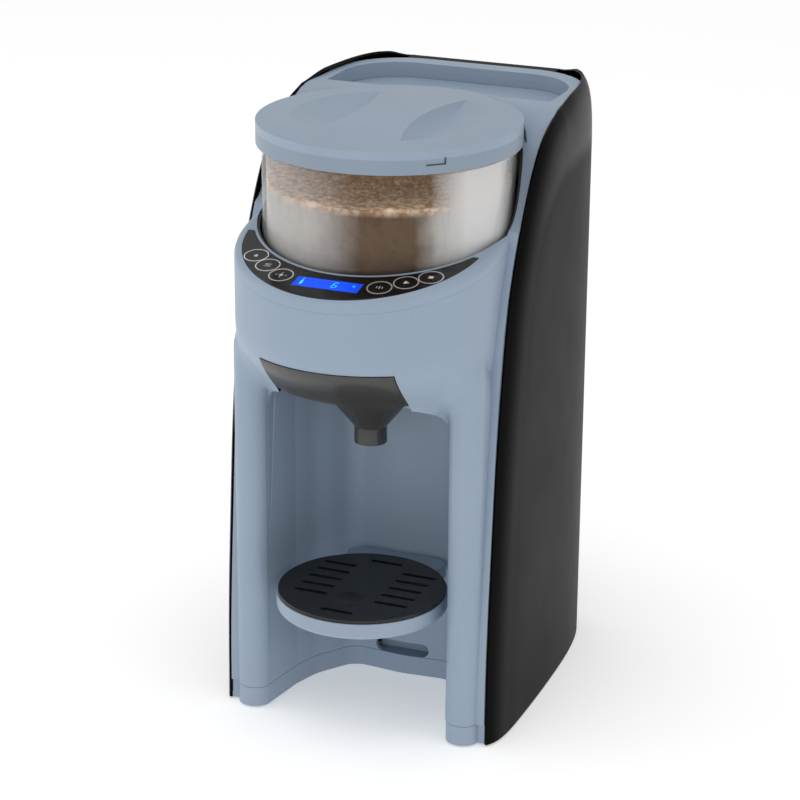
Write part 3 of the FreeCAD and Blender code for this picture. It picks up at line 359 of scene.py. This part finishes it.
def pillar_reach(turn, z):
    """Distance from the core to the blended surface, for a heading in degrees and a height."""
    direction = Vector((math.cos(math.radians(turn)), math.sin(math.radians(turn))))
    sunk = smooth_step((z - 0.206) / 0.036) * pillar_sinks
    first, second = reach_of_fascia(direction, z), reach_of_pillar(direction) - sunk
    near = max(blend_width - abs(first - second), 0.0) / blend_width
    swell = near * near * blend_width / 4
    swell *= smooth_step((z - blend_low) / 0.018) * smooth_step((0.242 - z) / 0.022)
    swell *= smooth_step((-12 - turn) / 46)
    return direction * (max(first, second) + swell - under_surface)


def pillar_blend(side, name):
    """The blended skin on one side, trimmed by the alcove and the funnel's opening."""
    columns, rows = 84, 90
    cap = grid_sheet(columns, rows)
    for row in range(rows):
        z = blend_low + (blend_high - blend_low) * row / (rows - 1)
        for column in range(columns):
            turn = blend_first_turn + (blend_last_turn - blend_first_turn) * column / (columns - 1)
            spot = blend_start + pillar_reach(turn, z)
            cap.data.vertices[row * columns + column].co = (side * spot.x, spot.y, z)
    if middle_face(cap).normal.y > 0:
        whole_mesh(bpy.ops.mesh.flip_normals)
    modified(cap, "SOLIDIFY", thickness=0.0024, offset=-1)
    for cutter in (alcove_arch(), funnel_gap()):
        modified(cap, "BOOLEAN", object=cutter, solver="EXACT")
        bpy.data.objects.remove(cutter)
    bpy.ops.object.shade_smooth_by_angle(angle=math.radians(35))
    settle(cap, name, housing_blue, "machine")


def alcove_arch():
    """The alcove's front outline with its round top corners, as a tool through the whole front."""
    corners = []
    for turn in range(0, 91, 6):
        angle = math.radians(turn)
        corners.append((alcove_half - alcove_corner * (1 - math.cos(angle)),
                        alcove_top - alcove_corner * (1 - math.sin(angle))))
    outline = [(alcove_half, 0.10), *corners]
    outline += [(-x, z) for x, z in reversed(outline)]
    bpy.ops.object.select_all(action="DESELECT")
    bpy.ops.mesh.primitive_circle_add(vertices=len(outline), radius=1, fill_type="NGON")
    arch = bpy.context.object
    for vertex, (x, z) in zip(arch.data.vertices, outline):
        vertex.co = (x, -0.16, z)
    whole_mesh(pushed(0, 0.20, 0), outward)
    return arch


def funnel_gap():
    """The opening in the chin that the funnel's plate slides into."""
    bpy.ops.object.select_all(action="DESELECT")
    bpy.ops.mesh.primitive_cube_add(size=1, location=(0, -0.11, 0.16))
    gap = bpy.context.object
    gap.scale = (0.0798, 0.12, 0.1454)
    bpy.ops.object.transform_apply(location=True, rotation=True, scale=True)
    return gap


for side, hand in ((-1, "left"), (1, "right")):
    pillar_blend(side, f"pillar_top_{hand}")


# ------------------------------------------------------------------ black side panels and rear cover
# Two tall satin panels wrap the sides from the front edge round to the rear cover. Their front
# rim is a strip with a high polish and a painted shade, and the rear cover carries the vents,
# the inlet and the switch.

def satin_black(name, rim=False):
    """Fine-grained satin black; on the side panels the rolled rim is glossier, with a painted shade."""
    finish = Finish(name, Specular_IOR_Level=0.055)
    cloud = finish.between(finish.noise(18.0, 4.0), 0.3, 0.7)
    satin = finish.shades(cloud, (0.0062, 0.0062, 0.0062), (0.0082, 0.0081, 0.0080))
    rough = 0.44 + cloud * 0.07
    if rim:
        inwards = finish.node("ShaderNodeAttribute", {"attribute_name": "from_rim"}, out=2)
        # painted shade: the band along the rim is painted darker; its lower roughness is real polish
        polish_and_painted_shade = 1 - finish.between(inwards, 0.015, 0.024)
        satin = finish.shades(polish_and_painted_shade, satin, (0.0010, 0.0009, 0.0009))
        rough = rough - polish_and_painted_shade * 0.16
    finish.feed(Base_Color=satin, Roughness=rough)
    finish.bump(finish.noise(2100.0, 2.0), 0.00003, 0.5)
    return finish.material


def piano_black(name, smear=0.05):
    finish = Finish(name, Specular_IOR_Level=0.22, Coat_Roughness=0.03)
    haze = finish.between(finish.noise(34.0, 6.0), 0.45, 0.8)
    finish.feed(Base_Color=finish.shades(haze, (0.0045, 0.0045, 0.0050), (0.0075, 0.0072, 0.0072)),
                Roughness=0.10 + haze * smear, Coat_Weight=0.12 - haze * 0.05)
    finish.bump(finish.noise(9.0, 1.0), 0.0002, 0.12)
    return finish.material


rim_black = satin_black("panel_black", rim=True)
dress(satin_black("cover_black"), "side_panel_left", "side_panel_right", "rear_cover")
dress(piano_black("polished_rim"), "side_trim_left", "side_trim_right")

# the rim's line seen from the side, y and z, and the plan of one panel round to the rear cover
rim_line = [(-0.0715, 0.0012), (-0.0703, 0.060), (-0.0656, 0.120), (-0.0605, 0.180), (-0.049, 0.250),
            (-0.0386, 0.279), (-0.020, 0.314), (-0.002, 0.335), (0.014, 0.344), (0.034, 0.3495)]
panel_plan = [(0.0870, -0.100), (0.0870, 0.0), (0.0815, 0.092), (0.0660, 0.1258), (0.04725, 0.1258)]
panel_roll, roll_reach, roll_fades = 0.0059, 0.040, 0.020
crown_lift, crown_start, crown_low = 0.0030, 0.030, 0.325


def rounded(points, times):
    """An open line with its corners cut again and again, until it is smooth."""
    for _ in range(times):
        cut = [points[0]]
        for (x, y), (u, v) in zip(points, points[1:]):
            cut += [(0.75 * x + 0.25 * u, 0.75 * y + 0.25 * v), (0.25 * x + 0.75 * u, 0.25 * y + 0.75 * v)]
        points = [*cut, points[-1]]
    return points


rim_smooth = rounded(rim_line, 3)
plan_smooth = rounded(panel_plan, 4)
rim_reach = [*rim_smooth, (0.20, rim_smooth[-1][1])]


def rim_distance(y, z):
    """How far a place on the side is from the rim and the top edge."""
    nearest = 1.0
    for (y1, z1), (y2, z2) in zip(rim_reach, rim_reach[1:]):
        run_y, run_z = y2 - y1, z2 - z1
        share = ((y - y1) * run_y + (z - z1) * run_z) / (run_y ** 2 + run_z ** 2)
        share = max(0.0, min(1.0, share))
        nearest = min(nearest, math.hypot(y - y1 - share * run_y, z - z1 - share * run_z))
    return nearest


def rim_depth(z):
    """Depth of the rim line at a height."""
    for (y1, z1), (y2, z2) in zip(rim_smooth, rim_smooth[1:]):
        if z <= z2:
            return y1 + (y2 - y1) * max(0.0, z - z1) / (z2 - z1)
    return rim_smooth[-1][0]


def plan_width(y):
    """Half-width of the panel's plan at a depth."""
    for (x1, y1), (x2, y2) in zip(plan_smooth, plan_smooth[1:]):
        if y <= y2:
            return x1 + (x2 - x1) * (y - y1) / (y2 - y1)
    return plan_smooth[-1][0]


def plan_places(start, count):
    """Places along the plan from a starting depth to the rear cover, closer together at first."""
    line = [(plan_width(start), start)] + [point for point in plan_smooth if point[1] > start + 0.0005]
    lengths = [math.dist(first, second) for first, second in zip(line, line[1:])]
    places = []
    for step in range(count):
        share = step / (count - 1)
        left = sum(lengths) * (0.45 * share + 0.55 * share ** 2)
        for (first, second), length in zip(zip(line, line[1:]), lengths):
            if left <= length or second == line[-1]:
                part = min(1.0, left / length)
                normal = Vector((second[1] - first[1], first[0] - second[0])).normalized()
                spot = Vector(first).lerp(Vector(second), part)
                places.append((spot, normal))
                break
            left -= length
    return places


def rolled_in(spot, normal, z):
    """A place on the plan, drawn in where it is near the rim."""
    left = 1 - min(rim_distance(spot.y, z), roll_reach) / roll_reach
    roll = panel_roll * (0.55 * left ** 3 + 0.45 * left ** 8)
    return spot - normal * roll * max(0.0, min(1.0, (spot.x - panel_plan[-1][0]) / roll_fades))


def crown(spot, z):
    """How much the top edge rises beside the deck; it is level again at the rear cover."""
    lift = crown_lift * smooth_step((spot.y - crown_start) / 0.035) * smooth_step((z - crown_low) / 0.0245)
    return lift * smooth_step((abs(spot.x) - 0.048) / 0.018)


def side_skin(side, name):
    """One moulded side panel, rolled in towards its rim and wrapped round the rear corner."""
    columns, rows = 76, 110
    skin = grid_sheet(columns, rows)
    low, high = rim_line[0][1], rim_line[-1][1]
    from_rim = []
    for row in range(rows):
        z = low + (high - low) * (1 - (1 - row / (rows - 1)) ** 1.6)
        for column, (place, normal) in enumerate(plan_places(rim_depth(z), columns)):
            spot = rolled_in(place, normal, z)
            skin.data.vertices[row * columns + column].co = (side * spot.x, spot.y, z + crown(spot, z))
            # the painted shade along the rim reaches further in towards the top, where overhead light falls
            # on the roll
            from_rim.append(rim_distance(place.y, z) / (1 + 1.3 * smooth_step((z - 0.285) / 0.055)))
    stored = skin.data.attributes.new("from_rim", "FLOAT", "POINT")
    stored.data.foreach_set("value", from_rim)
    if side * middle_face(skin).normal.x < 0:
        whole_mesh(bpy.ops.mesh.flip_normals)
    modified(skin, "SOLIDIFY", thickness=0.0018, offset=-1)
    bpy.ops.object.shade_smooth_by_angle(angle=math.radians(40))
    settle(skin, name, rim_black, "machine")
    return skin


for side, hand in ((-1, "left"), (1, "right")):
    skin = side_skin(side, f"side_skin_{hand}")
    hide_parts(f"side_panel_{hand}", f"side_trim_{hand}")


# ------------------------------------------------------------------ tray slot backing
# A blue wall moulded a little way behind the three slots that the tray hooks into. It shuts
# them off from the inside of the machine.

bpy.ops.object.select_all(action="DESELECT")
bpy.ops.mesh.primitive_cube_add(size=1, location=(0, 0.0098, 0.046))
backing = bpy.context.object
backing.scale = (0.044, 0.0012, 0.076)
settle(backing, "slot_backing", housing_blue, "machine")


# ------------------------------------------------------------------ control panel
# A piano-black crescent lies in the sloping top of the fascia. Six round keys stand in thin
# plated rings, three each side of the blue window, over silicone domes and a small board.

def plated_ring():
    finish = Finish("plated_ring", Metallic=0.55)
    scuff = finish.between(finish.noise(700.0, 3.0), 0.4, 0.75)
    finish.feed(Base_Color=finish.shades(scuff, (0.84, 0.84, 0.84), (0.70, 0.70, 0.70)),
                Roughness=0.14 + scuff * 0.12)
    return finish.material


def lit_window():
    """The backlit blue window, brightest towards its middle, with a faint dot grid."""
    finish = Finish("lit_window", Specular_IOR_Level=0.15, Emission_Strength=1.0)
    across = finish.node("ShaderNodeSeparateXYZ", values={0: finish.place}, out=0)
    edge = finish.between(across * across, 0.00010, 0.00036)
    dots = finish.node("ShaderNodeTexVoronoi", values={"Vector": finish.place, "Scale": 2200.0})
    glow = finish.shades(edge, (0.004, 0.078, 0.92), (0.006, 0.055, 0.72))
    finish.feed(Base_Color=(0.004, 0.012, 0.08, 1), Emission_Color=glow, Roughness=0.10 + dots * 0.08)
    return finish.material


def solder_mask():
    finish = Finish("solder_mask")
    tracks = finish.node("ShaderNodeTexBrick", {"offset": 0.5}, {
        "Vector": finish.place, "Scale": 160.0, "Color1": (0.010, 0.110, 0.050, 1),
        "Color2": (0.012, 0.130, 0.058, 1), "Mortar": (0.030, 0.230, 0.110, 1), "Mortar Size": 0.03})
    finish.feed(Base_Color=tracks, Roughness=0.30 + finish.noise(800.0) * 0.12)
    return finish.material


def clear_silicone():
    finish = Finish("clear_silicone", Subsurface_Weight=0.15)
    milk = finish.between(finish.noise(120.0, 3.0), 0.3, 0.7)
    finish.feed(Base_Color=finish.shades(milk, (0.56, 0.56, 0.53), (0.68, 0.68, 0.65)),
                Roughness=0.34 + milk * 0.12)
    finish.bump(finish.noise(1200.0), 0.00003, 0.5)
    return finish.material


keys = [f"button_{number}" for number in range(1, 7)]
gloss_black = piano_black("crescent_black", 0.04)
silicone = clear_silicone()
board_green = solder_mask()
dress(gloss_black, "control_fascia", *keys)
dress(plated_ring(), "button_bezels")
dress(lit_window(), "display_window")
dress(inner_grey, "lcd_module")
dress(silicone, "button_domes", "lid_seal", "tank_seal", "suction_hose", "pressure_hose", "outlet_hose")
dress(board_green, "control_board", "power_board")

panel_tilt = math.atan(0.2)
panel_up = Vector((0, -math.sin(panel_tilt), math.cos(panel_tilt)))
panel_turn = Quaternion((1, 0, 0), panel_tilt)
window_face, key_face, ink_thickness = 0.0009, 0.00252, 0.00006


def printed_mark(corners):
    """A flat many-sided mark in the panel's own plane, thickened by extruding it."""
    bpy.ops.object.select_all(action="DESELECT")
    bpy.ops.mesh.primitive_circle_add(vertices=len(corners), radius=0.001, fill_type="NGON")
    mark = bpy.context.object
    for vertex, (x, y) in zip(mark.data.vertices, corners):
        vertex.co = (x, y, 0)
    whole_mesh(pushed(0, 0, ink_thickness), outward)
    return mark


def laid_on_panel(marks, middle, name, material, body):
    """Join marks and lay them on the panel's plane about a middle point."""
    bpy.ops.object.select_all(action="DESELECT")
    for mark in marks:
        mark.select_set(True)
    bpy.context.view_layer.objects.active = marks[0]
    if len(marks) > 1:
        bpy.ops.object.join()
    whole = marks[0]
    whole.rotation_mode = "QUATERNION"
    whole.rotation_quaternion = panel_turn
    whole.location = middle
    settle(whole, name, material, body)


def polygon(sides, radius, turn=0.0, middle=(0, 0)):
    """Corners of a regular polygon, from a heading round anticlockwise."""
    headings = [turn + math.tau * side / sides for side in range(sides)]
    return [(middle[0] + radius * math.cos(heading), middle[1] + radius * math.sin(heading))
            for heading in headings]


def bar(x, y, width, height):
    """A bar with pointed ends, as one segment of a digit is."""
    long, short = max(width, height) / 2, min(width, height) / 2
    shape = [(-long, 0), (-long + short, -short), (long - short, -short), (long, 0),
             (long - short, short), (-long + short, short)]
    if height > width:
        shape = [(-v, u) for u, v in shape]
    return [(x + u, y + v) for u, v in shape]


def drop(x, y, size):
    """A water drop: a round belly drawn to a point at the top."""
    belly = polygon(18, size, math.radians(120), (x, y))
    kept = [point for point in belly if point[1] < y + 0.6 * size]
    return [*kept, (x, y + 2.0 * size)]


lit_cyan = Finish("lit_cyan", Emission_Strength=1.0)
lit_cyan.feed(Emission_Color=lit_cyan.shades(lit_cyan.noise(2000.0), (0.03, 0.62, 0.95), (0.05, 0.72, 1.0)),
              Base_Color=(0.0, 0.1, 0.15, 1))
segment_long, segment_wide, segment_lean = 0.0024, 0.0005, 0.15
window_low, window_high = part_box("display_window")
window_middle = (window_low + window_high) / 2 + panel_up * window_face
six = [bar(0, level, 0.0022, segment_wide) for level in (0.0026, 0, -0.0026)]
six += [bar(x, y, segment_wide, segment_long)
        for x, y in [(-0.0013, 0.0013), (-0.0013, -0.0013), (0.0013, -0.0013)]]
digit = [[(x + segment_lean * y + 0.0045, y) for x, y in segment] for segment in six]
bottle = [[(-0.0156, -0.0030), (-0.0140, -0.0030), (-0.0140, 0.0004), (-0.0145, 0.0012), (-0.0145, 0.0026),
           (-0.0151, 0.0026), (-0.0151, 0.0012), (-0.0156, 0.0004)]]
dashes = [bar(0.0150, 0.0008, 0.0020, 0.0004), bar(0.0150, 0.0018, 0.0014, 0.0004),
          bar(-0.0148, 0.0036, 0.0016, 0.0004)]
laid_on_panel([printed_mark(shape) for shape in digit + bottle + dashes], window_middle,
              "display_marks", lit_cyan.material, "machine")

print_white = Finish("print_white", Roughness=0.5)
print_white.feed(Base_Color=print_white.shades(print_white.noise(3000.0), (0.5, 0.5, 0.5), (0.6, 0.6, 0.6)))
symbols = [
    [drop(0, -0.0006, 0.0011)],
    [bar(0, 0.0012, 0.0042, 0.0004), bar(0, 0, 0.0030, 0.0004), bar(0, -0.0012, 0.0042, 0.0004)],
    [polygon(20, 0.0011), bar(0, 0.0024, 0.0004, 0.0014), bar(0, -0.0024, 0.0004, 0.0014),
     bar(0.0028, 0, 0.0014, 0.0004), bar(-0.0028, 0, 0.0014, 0.0004)],
    [bar(-0.0016, 0, 0.0004, 0.0022), bar(0, 0, 0.0004, 0.0032), bar(0.0016, 0, 0.0004, 0.0022)],
    [polygon(3, 0.0020)],
    [polygon(4, 0.0019, math.radians(45))],
]
for key, shapes in zip(keys, symbols):
    key_low, key_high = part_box(key)
    key_top = (key_low + key_high) / 2 + panel_up * key_face
    laid_on_panel([printed_mark(shape) for shape in shapes], key_top, f"{key}_symbol",
                  print_white.material, key)


# ------------------------------------------------------------------ powder container
# A clear copolyester cylinder stands in the dark well. It is about half full of formula powder,
# which lies smooth against the wall and crumbled into clumps on top.

# the direction across the container along which the painted reflections on its wall and on the powder lie
across_powder = (0.920, 0.391, 0)


def clear_plastic(name, tint, veil, painted_reflections=False):
    """Thin clear wall, glossier towards its edges; it may carry two upright painted reflections."""
    finish = Finish(name, Coat_Weight=0.6, Coat_Roughness=0.02)
    finish.feed(Base_Color=(*tint, 1), Roughness=0.035 + finish.noise(40.0, 4.0) * 0.03)
    facing = finish.node("ShaderNodeLayerWeight", values={"Blend": 0.28}, out="Facing")
    cover = facing ** 3 * 0.5 + veil
    if painted_reflections:
        # painted reflections: two upright pale bands on the wall, right and left, for the side soft boxes
        heading = finish.heading(finish.place, across_powder)
        right_painted_reflection = finish.between(heading, 0.012, 0.032) * (1 - finish.between(heading, 0.050, 0.062))
        left_painted_reflection = 1 - finish.between(heading, -0.066, -0.030)
        cover = cover + right_painted_reflection * 0.50 + left_painted_reflection * 0.14
    finish.see_through(cover, [0.5 + 0.5 * part for part in tint])
    return finish.material


def formula_powder():
    """Brown powder, painted pale beside a band at its right front as painted reflections;
    golden-brown clumps on top, lightened and glowing faintly as painted light.
    """
    # the faint emission lights the powder's top: painted light in place of light bounced onto it
    finish = Finish("formula_powder", Specular_IOR_Level=0.2, Emission_Strength=0.09)
    lumps = finish.between(finish.noise(250.0, 6.0), 0.38, 0.62)
    grains = finish.between(finish.noise(3200.0, 2.0), 0.3, 0.7)
    centred = finish.node("ShaderNodeVectorMath", {"operation": "SUBTRACT"},
                          {0: finish.place, 1: (0, container_middle.y, 0)})
    ragged = finish.heading(centred, across_powder) + (finish.noise(90.0, 4.0) - 0.5) * 0.010
    streak = finish.between(ragged, -0.044, -0.016) * (1 - finish.between(ragged, 0.013, 0.026))
    # painted reflections: the powder is painted pale beside the brown band, where the wall would reflect the
    # side lights
    pale_painted_reflection = finish.shades(lumps * 0.4 + grains * 0.6, (0.53, 0.49, 0.45), (0.64, 0.60, 0.56))
    brown_part = finish.shades(lumps * 0.4 + grains * 0.6, (0.130, 0.078, 0.042), (0.185, 0.118, 0.070))
    side_with_painted_reflections = finish.shades(streak, pale_painted_reflection, brown_part)
    # painted light: the clumps on top are painted lighter to make up for the lid's shadow, and glow faintly
    toasted_and_painted_light = finish.shades(lumps, (0.56, 0.31, 0.15), (1.0, 0.84, 0.66))
    on_top = finish.between(finish.height(), powder_level - 0.0040, powder_level + 0.0005)
    colour = finish.shades(on_top, side_with_painted_reflections, toasted_and_painted_light)
    painted_bounce_light = finish.shades(on_top, (0, 0, 0), (0.80, 0.42, 0.16))
    finish.feed(Base_Color=colour, Roughness=0.82 + grains * 0.12, Emission_Color=painted_bounce_light)
    finish.bump(lumps * 0.7 + grains * 0.3, 0.0005, 0.7)
    return finish.material


container_low, container_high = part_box("powder_container")
container_middle = (container_low + container_high) / 2
dress(clear_plastic("clear_container", (0.90, 0.90, 0.90), 0.012, painted_reflections=True), "powder_container")
def pick_faces(piece, test):
    """Select, for the next operator, just the faces whose middle and normal pass a test."""
    bpy.ops.object.mode_set(mode="EDIT")
    bpy.ops.mesh.select_mode(type="FACE")
    bpy.ops.mesh.select_all(action="DESELECT")
    bpy.ops.object.mode_set(mode="OBJECT")
    for face in piece.data.polygons:
        face.select = test(face.center, face.normal)
    bpy.ops.object.mode_set(mode="EDIT")


powder_radius, powder_level, powder_slope = 0.0684, 0.3160, 0.021
powder_low = container_low.z + 0.0034
bpy.ops.object.select_all(action="DESELECT")
bpy.ops.mesh.primitive_cylinder_add(
    vertices=220, radius=powder_radius, depth=powder_level - powder_low,
    location=(container_middle.x, container_middle.y, (powder_level + powder_low) / 2))
powder = bpy.context.object
powder_ring = 0.00095
pick_faces(powder, lambda centre, normal: normal.z > 0.9)
for ring in range(int(powder_radius / powder_ring) - 1):
    bpy.ops.mesh.inset(thickness=powder_ring)
bpy.ops.object.mode_set(mode="OBJECT")
bpy.ops.object.transform_apply(location=True, rotation=True, scale=True)
for vertex in powder.data.vertices:
    if vertex.co.z < powder_level - 0.0001:
        continue
    x, y = vertex.co.x, vertex.co.y
    heap = 0.0030 * noise.noise(Vector((x, y, 0.3)) * 26)
    clump = 0.0021 * abs(noise.noise(Vector((x, y, 1.7)) * 260))
    crumb = 0.0011 * noise.noise(Vector((x, y, 4.1)) * 700)
    vertex.co.z += heap + clump + crumb + powder_slope * (y - container_middle.y + powder_radius)
powder.data.shade_smooth()
settle(powder, "formula_powder", formula_powder(), "container")


# ------------------------------------------------------------------ powder lid
# One blue moulding drops over the container's rim. Two scoops leave a grip bar across it, a
# thin brim runs round the top, and an L-shaped mark on the skirt shows where it locks.

lid_low, lid_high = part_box("powder_lid")
lid_radius = (lid_high.x - lid_low.x) / 2
lid_middle = Vector(((lid_low.x + lid_high.x) / 2, (lid_low.y + lid_high.y) / 2, 0))
lid_edge, lid_inset, lid_bore, lid_depth = 0.3501, 0.0007, 0.0726, 0.0068
lid_crown = lid_high.z - lid_edge
scoop_radius, scoop_limit = 0.0555, 0.0082
bar_waist, bar_bend = 0.0184, 0.1535


def lid_top(x, y):
    """Height of the lid's crowned top at a place measured from its middle."""
    return lid_edge + lid_crown * (1 - (x * x + y * y) / lid_radius ** 2)


def bar_edge(y):
    """Half-width of the grip bar, narrowest at its middle."""
    return bar_waist + bar_bend - math.sqrt(bar_bend ** 2 - y * y)


def scoop_depth(x, y):
    """A steep wall falls from the grip bar, and a gentle floor climbs to the scoop's outer arc."""
    wall = 1.25 * (x - bar_edge(y))
    climb = 0.36 * (scoop_radius - math.hypot(x, y))
    return scoop_limit * (1 - math.exp(-max(0.0, min(wall, climb)) / scoop_limit))


bpy.ops.object.select_all(action="DESELECT")
bpy.ops.mesh.primitive_cylinder_add(vertices=256, radius=lid_radius - lid_inset, depth=lid_edge - lid_low.z,
                                    location=(lid_middle.x, lid_middle.y, (lid_edge + lid_low.z) / 2))
lid = bpy.context.object
bpy.ops.object.transform_apply(location=True, rotation=True, scale=True)
pick_faces(lid, lambda centre, normal: normal.z < -0.9)
bpy.ops.mesh.inset(thickness=lid_radius - lid_inset - lid_bore)
pushed(0, 0, lid_depth)()
pick_faces(lid, lambda centre, normal: normal.z > 0.9 and centre.z > lid_edge - 0.001)
for ring in range(36):
    bpy.ops.mesh.inset(thickness=0.002)
bpy.ops.object.mode_set(mode="OBJECT")
for vertex in lid.data.vertices:
    if vertex.co.z > lid_edge - 0.000001:
        out = Vector((vertex.co.x - lid_middle.x, vertex.co.y - lid_middle.y))
        vertex.co.z = lid_top(*out)


def scoop_cutter(side):
    """A closed tool whose underside is the scoop's surface."""
    tool = grid_sheet(45, 91)
    reach, over = 0.0487, 0.00005
    for vertex in tool.data.vertices:
        along = max(-1.0, min(1.0, vertex.co.y * 2))
        y = reach * math.sin(along * math.pi / 2)
        inner = bar_edge(y)
        outer = max(inner + 0.0002, math.sqrt(scoop_radius ** 2 - y * y))
        x = inner + (vertex.co.x + 0.5) * (outer - inner)
        level = lid_top(x, y) - scoop_depth(x, y) + over
        vertex.co = (side * x + lid_middle.x, y + lid_middle.y, level)
    whole_mesh(pushed(0, 0, 0.02), outward)
    return tool


for side in (-1, 1):
    tool = scoop_cutter(side)
    modified(lid, "BOOLEAN", object=tool, solver="EXACT")
    bpy.data.objects.remove(tool)
lid.data.shade_smooth()
bpy.ops.object.shade_smooth_by_angle(angle=math.radians(28))
settle(lid, "lid_shell", blue_abs("lid_blue", painted_shade_below=0.3458), "lid")
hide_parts("powder_lid")

# the lock mark is two thin bars that meet in an L, on the skirt to the right of the front
mark_turn, mark_level, mark_line, mark_sunk = math.radians(42), 0.3425, 0.0007, 0.0009
mark_bars = [(0.0, 0.0, 0.0110, mark_line), (0.0052, 0.0017, mark_line, 0.0034)]
mark_out = Vector((math.sin(mark_turn), -math.cos(mark_turn), 0))
mark_along = Vector((math.cos(mark_turn), math.sin(mark_turn), 0))
for index, (along, rise, wide, tall) in enumerate(mark_bars):
    spot = lid_middle + mark_out * (lid_radius - mark_sunk) + mark_along * along
    spot.z = mark_level + rise
    bpy.ops.object.select_all(action="DESELECT")
    bpy.ops.mesh.primitive_cube_add(size=1, location=spot, rotation=(0, 0, mark_turn))
    mark = bpy.context.object
    mark.scale = (wide, 0.0008, tall)
    settle(mark, f"lock_mark_{index}", inner_grey, "lid")


# ------------------------------------------------------------------ powder wheel, stirrer and drive
# Below the powder a white acetal wheel carries doses to the outlet. A gear motor drives it
# through a pinion and a spur gear on a plated shaft.

def white_acetal():
    finish = Finish("white_acetal", Subsurface_Weight=0.05)
    wear = finish.between(finish.noise(220.0, 4.0), 0.45, 0.8)
    finish.feed(Base_Color=finish.shades(wear, (0.74, 0.74, 0.71), (0.62, 0.62, 0.58)),
                Roughness=0.30 + wear * 0.15)
    finish.bump(finish.noise(1800.0), 0.00002, 0.5)
    return finish.material


def plated_steel():
    finish = Finish("plated_steel", Metallic=1.0)
    drawn = finish.between(finish.noise(900.0, 2.0, (1, 1, 0.05)), 0.3, 0.7)
    finish.feed(Base_Color=finish.shades(drawn, (0.50, 0.50, 0.51), (0.64, 0.64, 0.65)),
                Roughness=0.24 + drawn * 0.16)
    return finish.material


steel = plated_steel()
dress(white_acetal(), "powder_wheel", "drive_gear", "motor_pinion", "tank_valve")
dress(steel, "stirrer", "motor_shaft", "drive_shaft", "gear_motor", "motor_standoffs",
      "heater_brackets", "board_standoffs", "board_screws")


# ------------------------------------------------------------------ funnel
# The mixing funnel is smoky, nearly black, see-through plastic. It slides into the chin, and its
# curved front plate closes the gap there.

def smoky_plastic():
    finish = Finish("smoky_plastic", Coat_Weight=0.25, Coat_Roughness=0.08)
    streak = finish.between(finish.noise(40.0, 2.0, (1, 1, 0.3)), 0.3, 0.7)
    finish.feed(Base_Color=finish.shades(streak, (0.068, 0.068, 0.066), (0.076, 0.076, 0.074)),
                Roughness=0.24 + streak * 0.03)
    finish.see_through(streak * 0.015 + 0.60, (0.5, 0.5, 0.5))
    return finish.material


dress(smoky_plastic(), "mixing_funnel")


# ------------------------------------------------------------------ bottle tray
# The blue tray hooks into the alcove's back wall. A satin black grille with round-ended slots
# and a finger dimple lifts out of it.

def satin_grille():
    finish = Finish("satin_grille", Specular_IOR_Level=0.4)
    rub = finish.between(finish.noise(60.0, 5.0), 0.45, 0.75)
    finish.feed(Base_Color=finish.shades(rub, (0.0105, 0.0105, 0.0105), (0.0170, 0.0168, 0.0165)),
                Roughness=0.34 + rub * 0.10)
    finish.bump(finish.noise(1700.0, 3.0), 0.00003, 0.6)
    return finish.material


dress(housing_blue, "bottle_tray")
dress(satin_grille(), "drip_grille")


# ------------------------------------------------------------------ water tank
# A tinted clear tank lifts out behind the powder container. Its blue lid lies flush in the top
# deck and lifts off.

dress(clear_plastic("tinted_tank", (0.34, 0.38, 0.43), 0.30), "water_tank")
dress(housing_blue, "tank_lid")


# ------------------------------------------------------------------ pump, heater and electrics
# Inside the rear stand the pump, the cast heater and the supply board. The inlet and the rocker
# switch come out through the rear cover.

def cast_aluminium():
    finish = Finish("cast_aluminium", Metallic=1.0)
    cast = finish.between(finish.noise(500.0, 5.0), 0.3, 0.7)
    finish.feed(Base_Color=finish.shades(cast, (0.52, 0.53, 0.54), (0.66, 0.67, 0.68)),
                Roughness=0.42 + cast * 0.2)
    finish.bump(cast, 0.00008, 0.6)
    return finish.material


dress(cast_aluminium(), "flow_heater")
dress(inner_grey, "water_pump", "water_nozzle")
dress(moulded_grey("socket_grey", (0.045, 0.045, 0.047)), "power_inlet", "switch_frame")
dress(piano_black("rocker_black"), "power_switch")
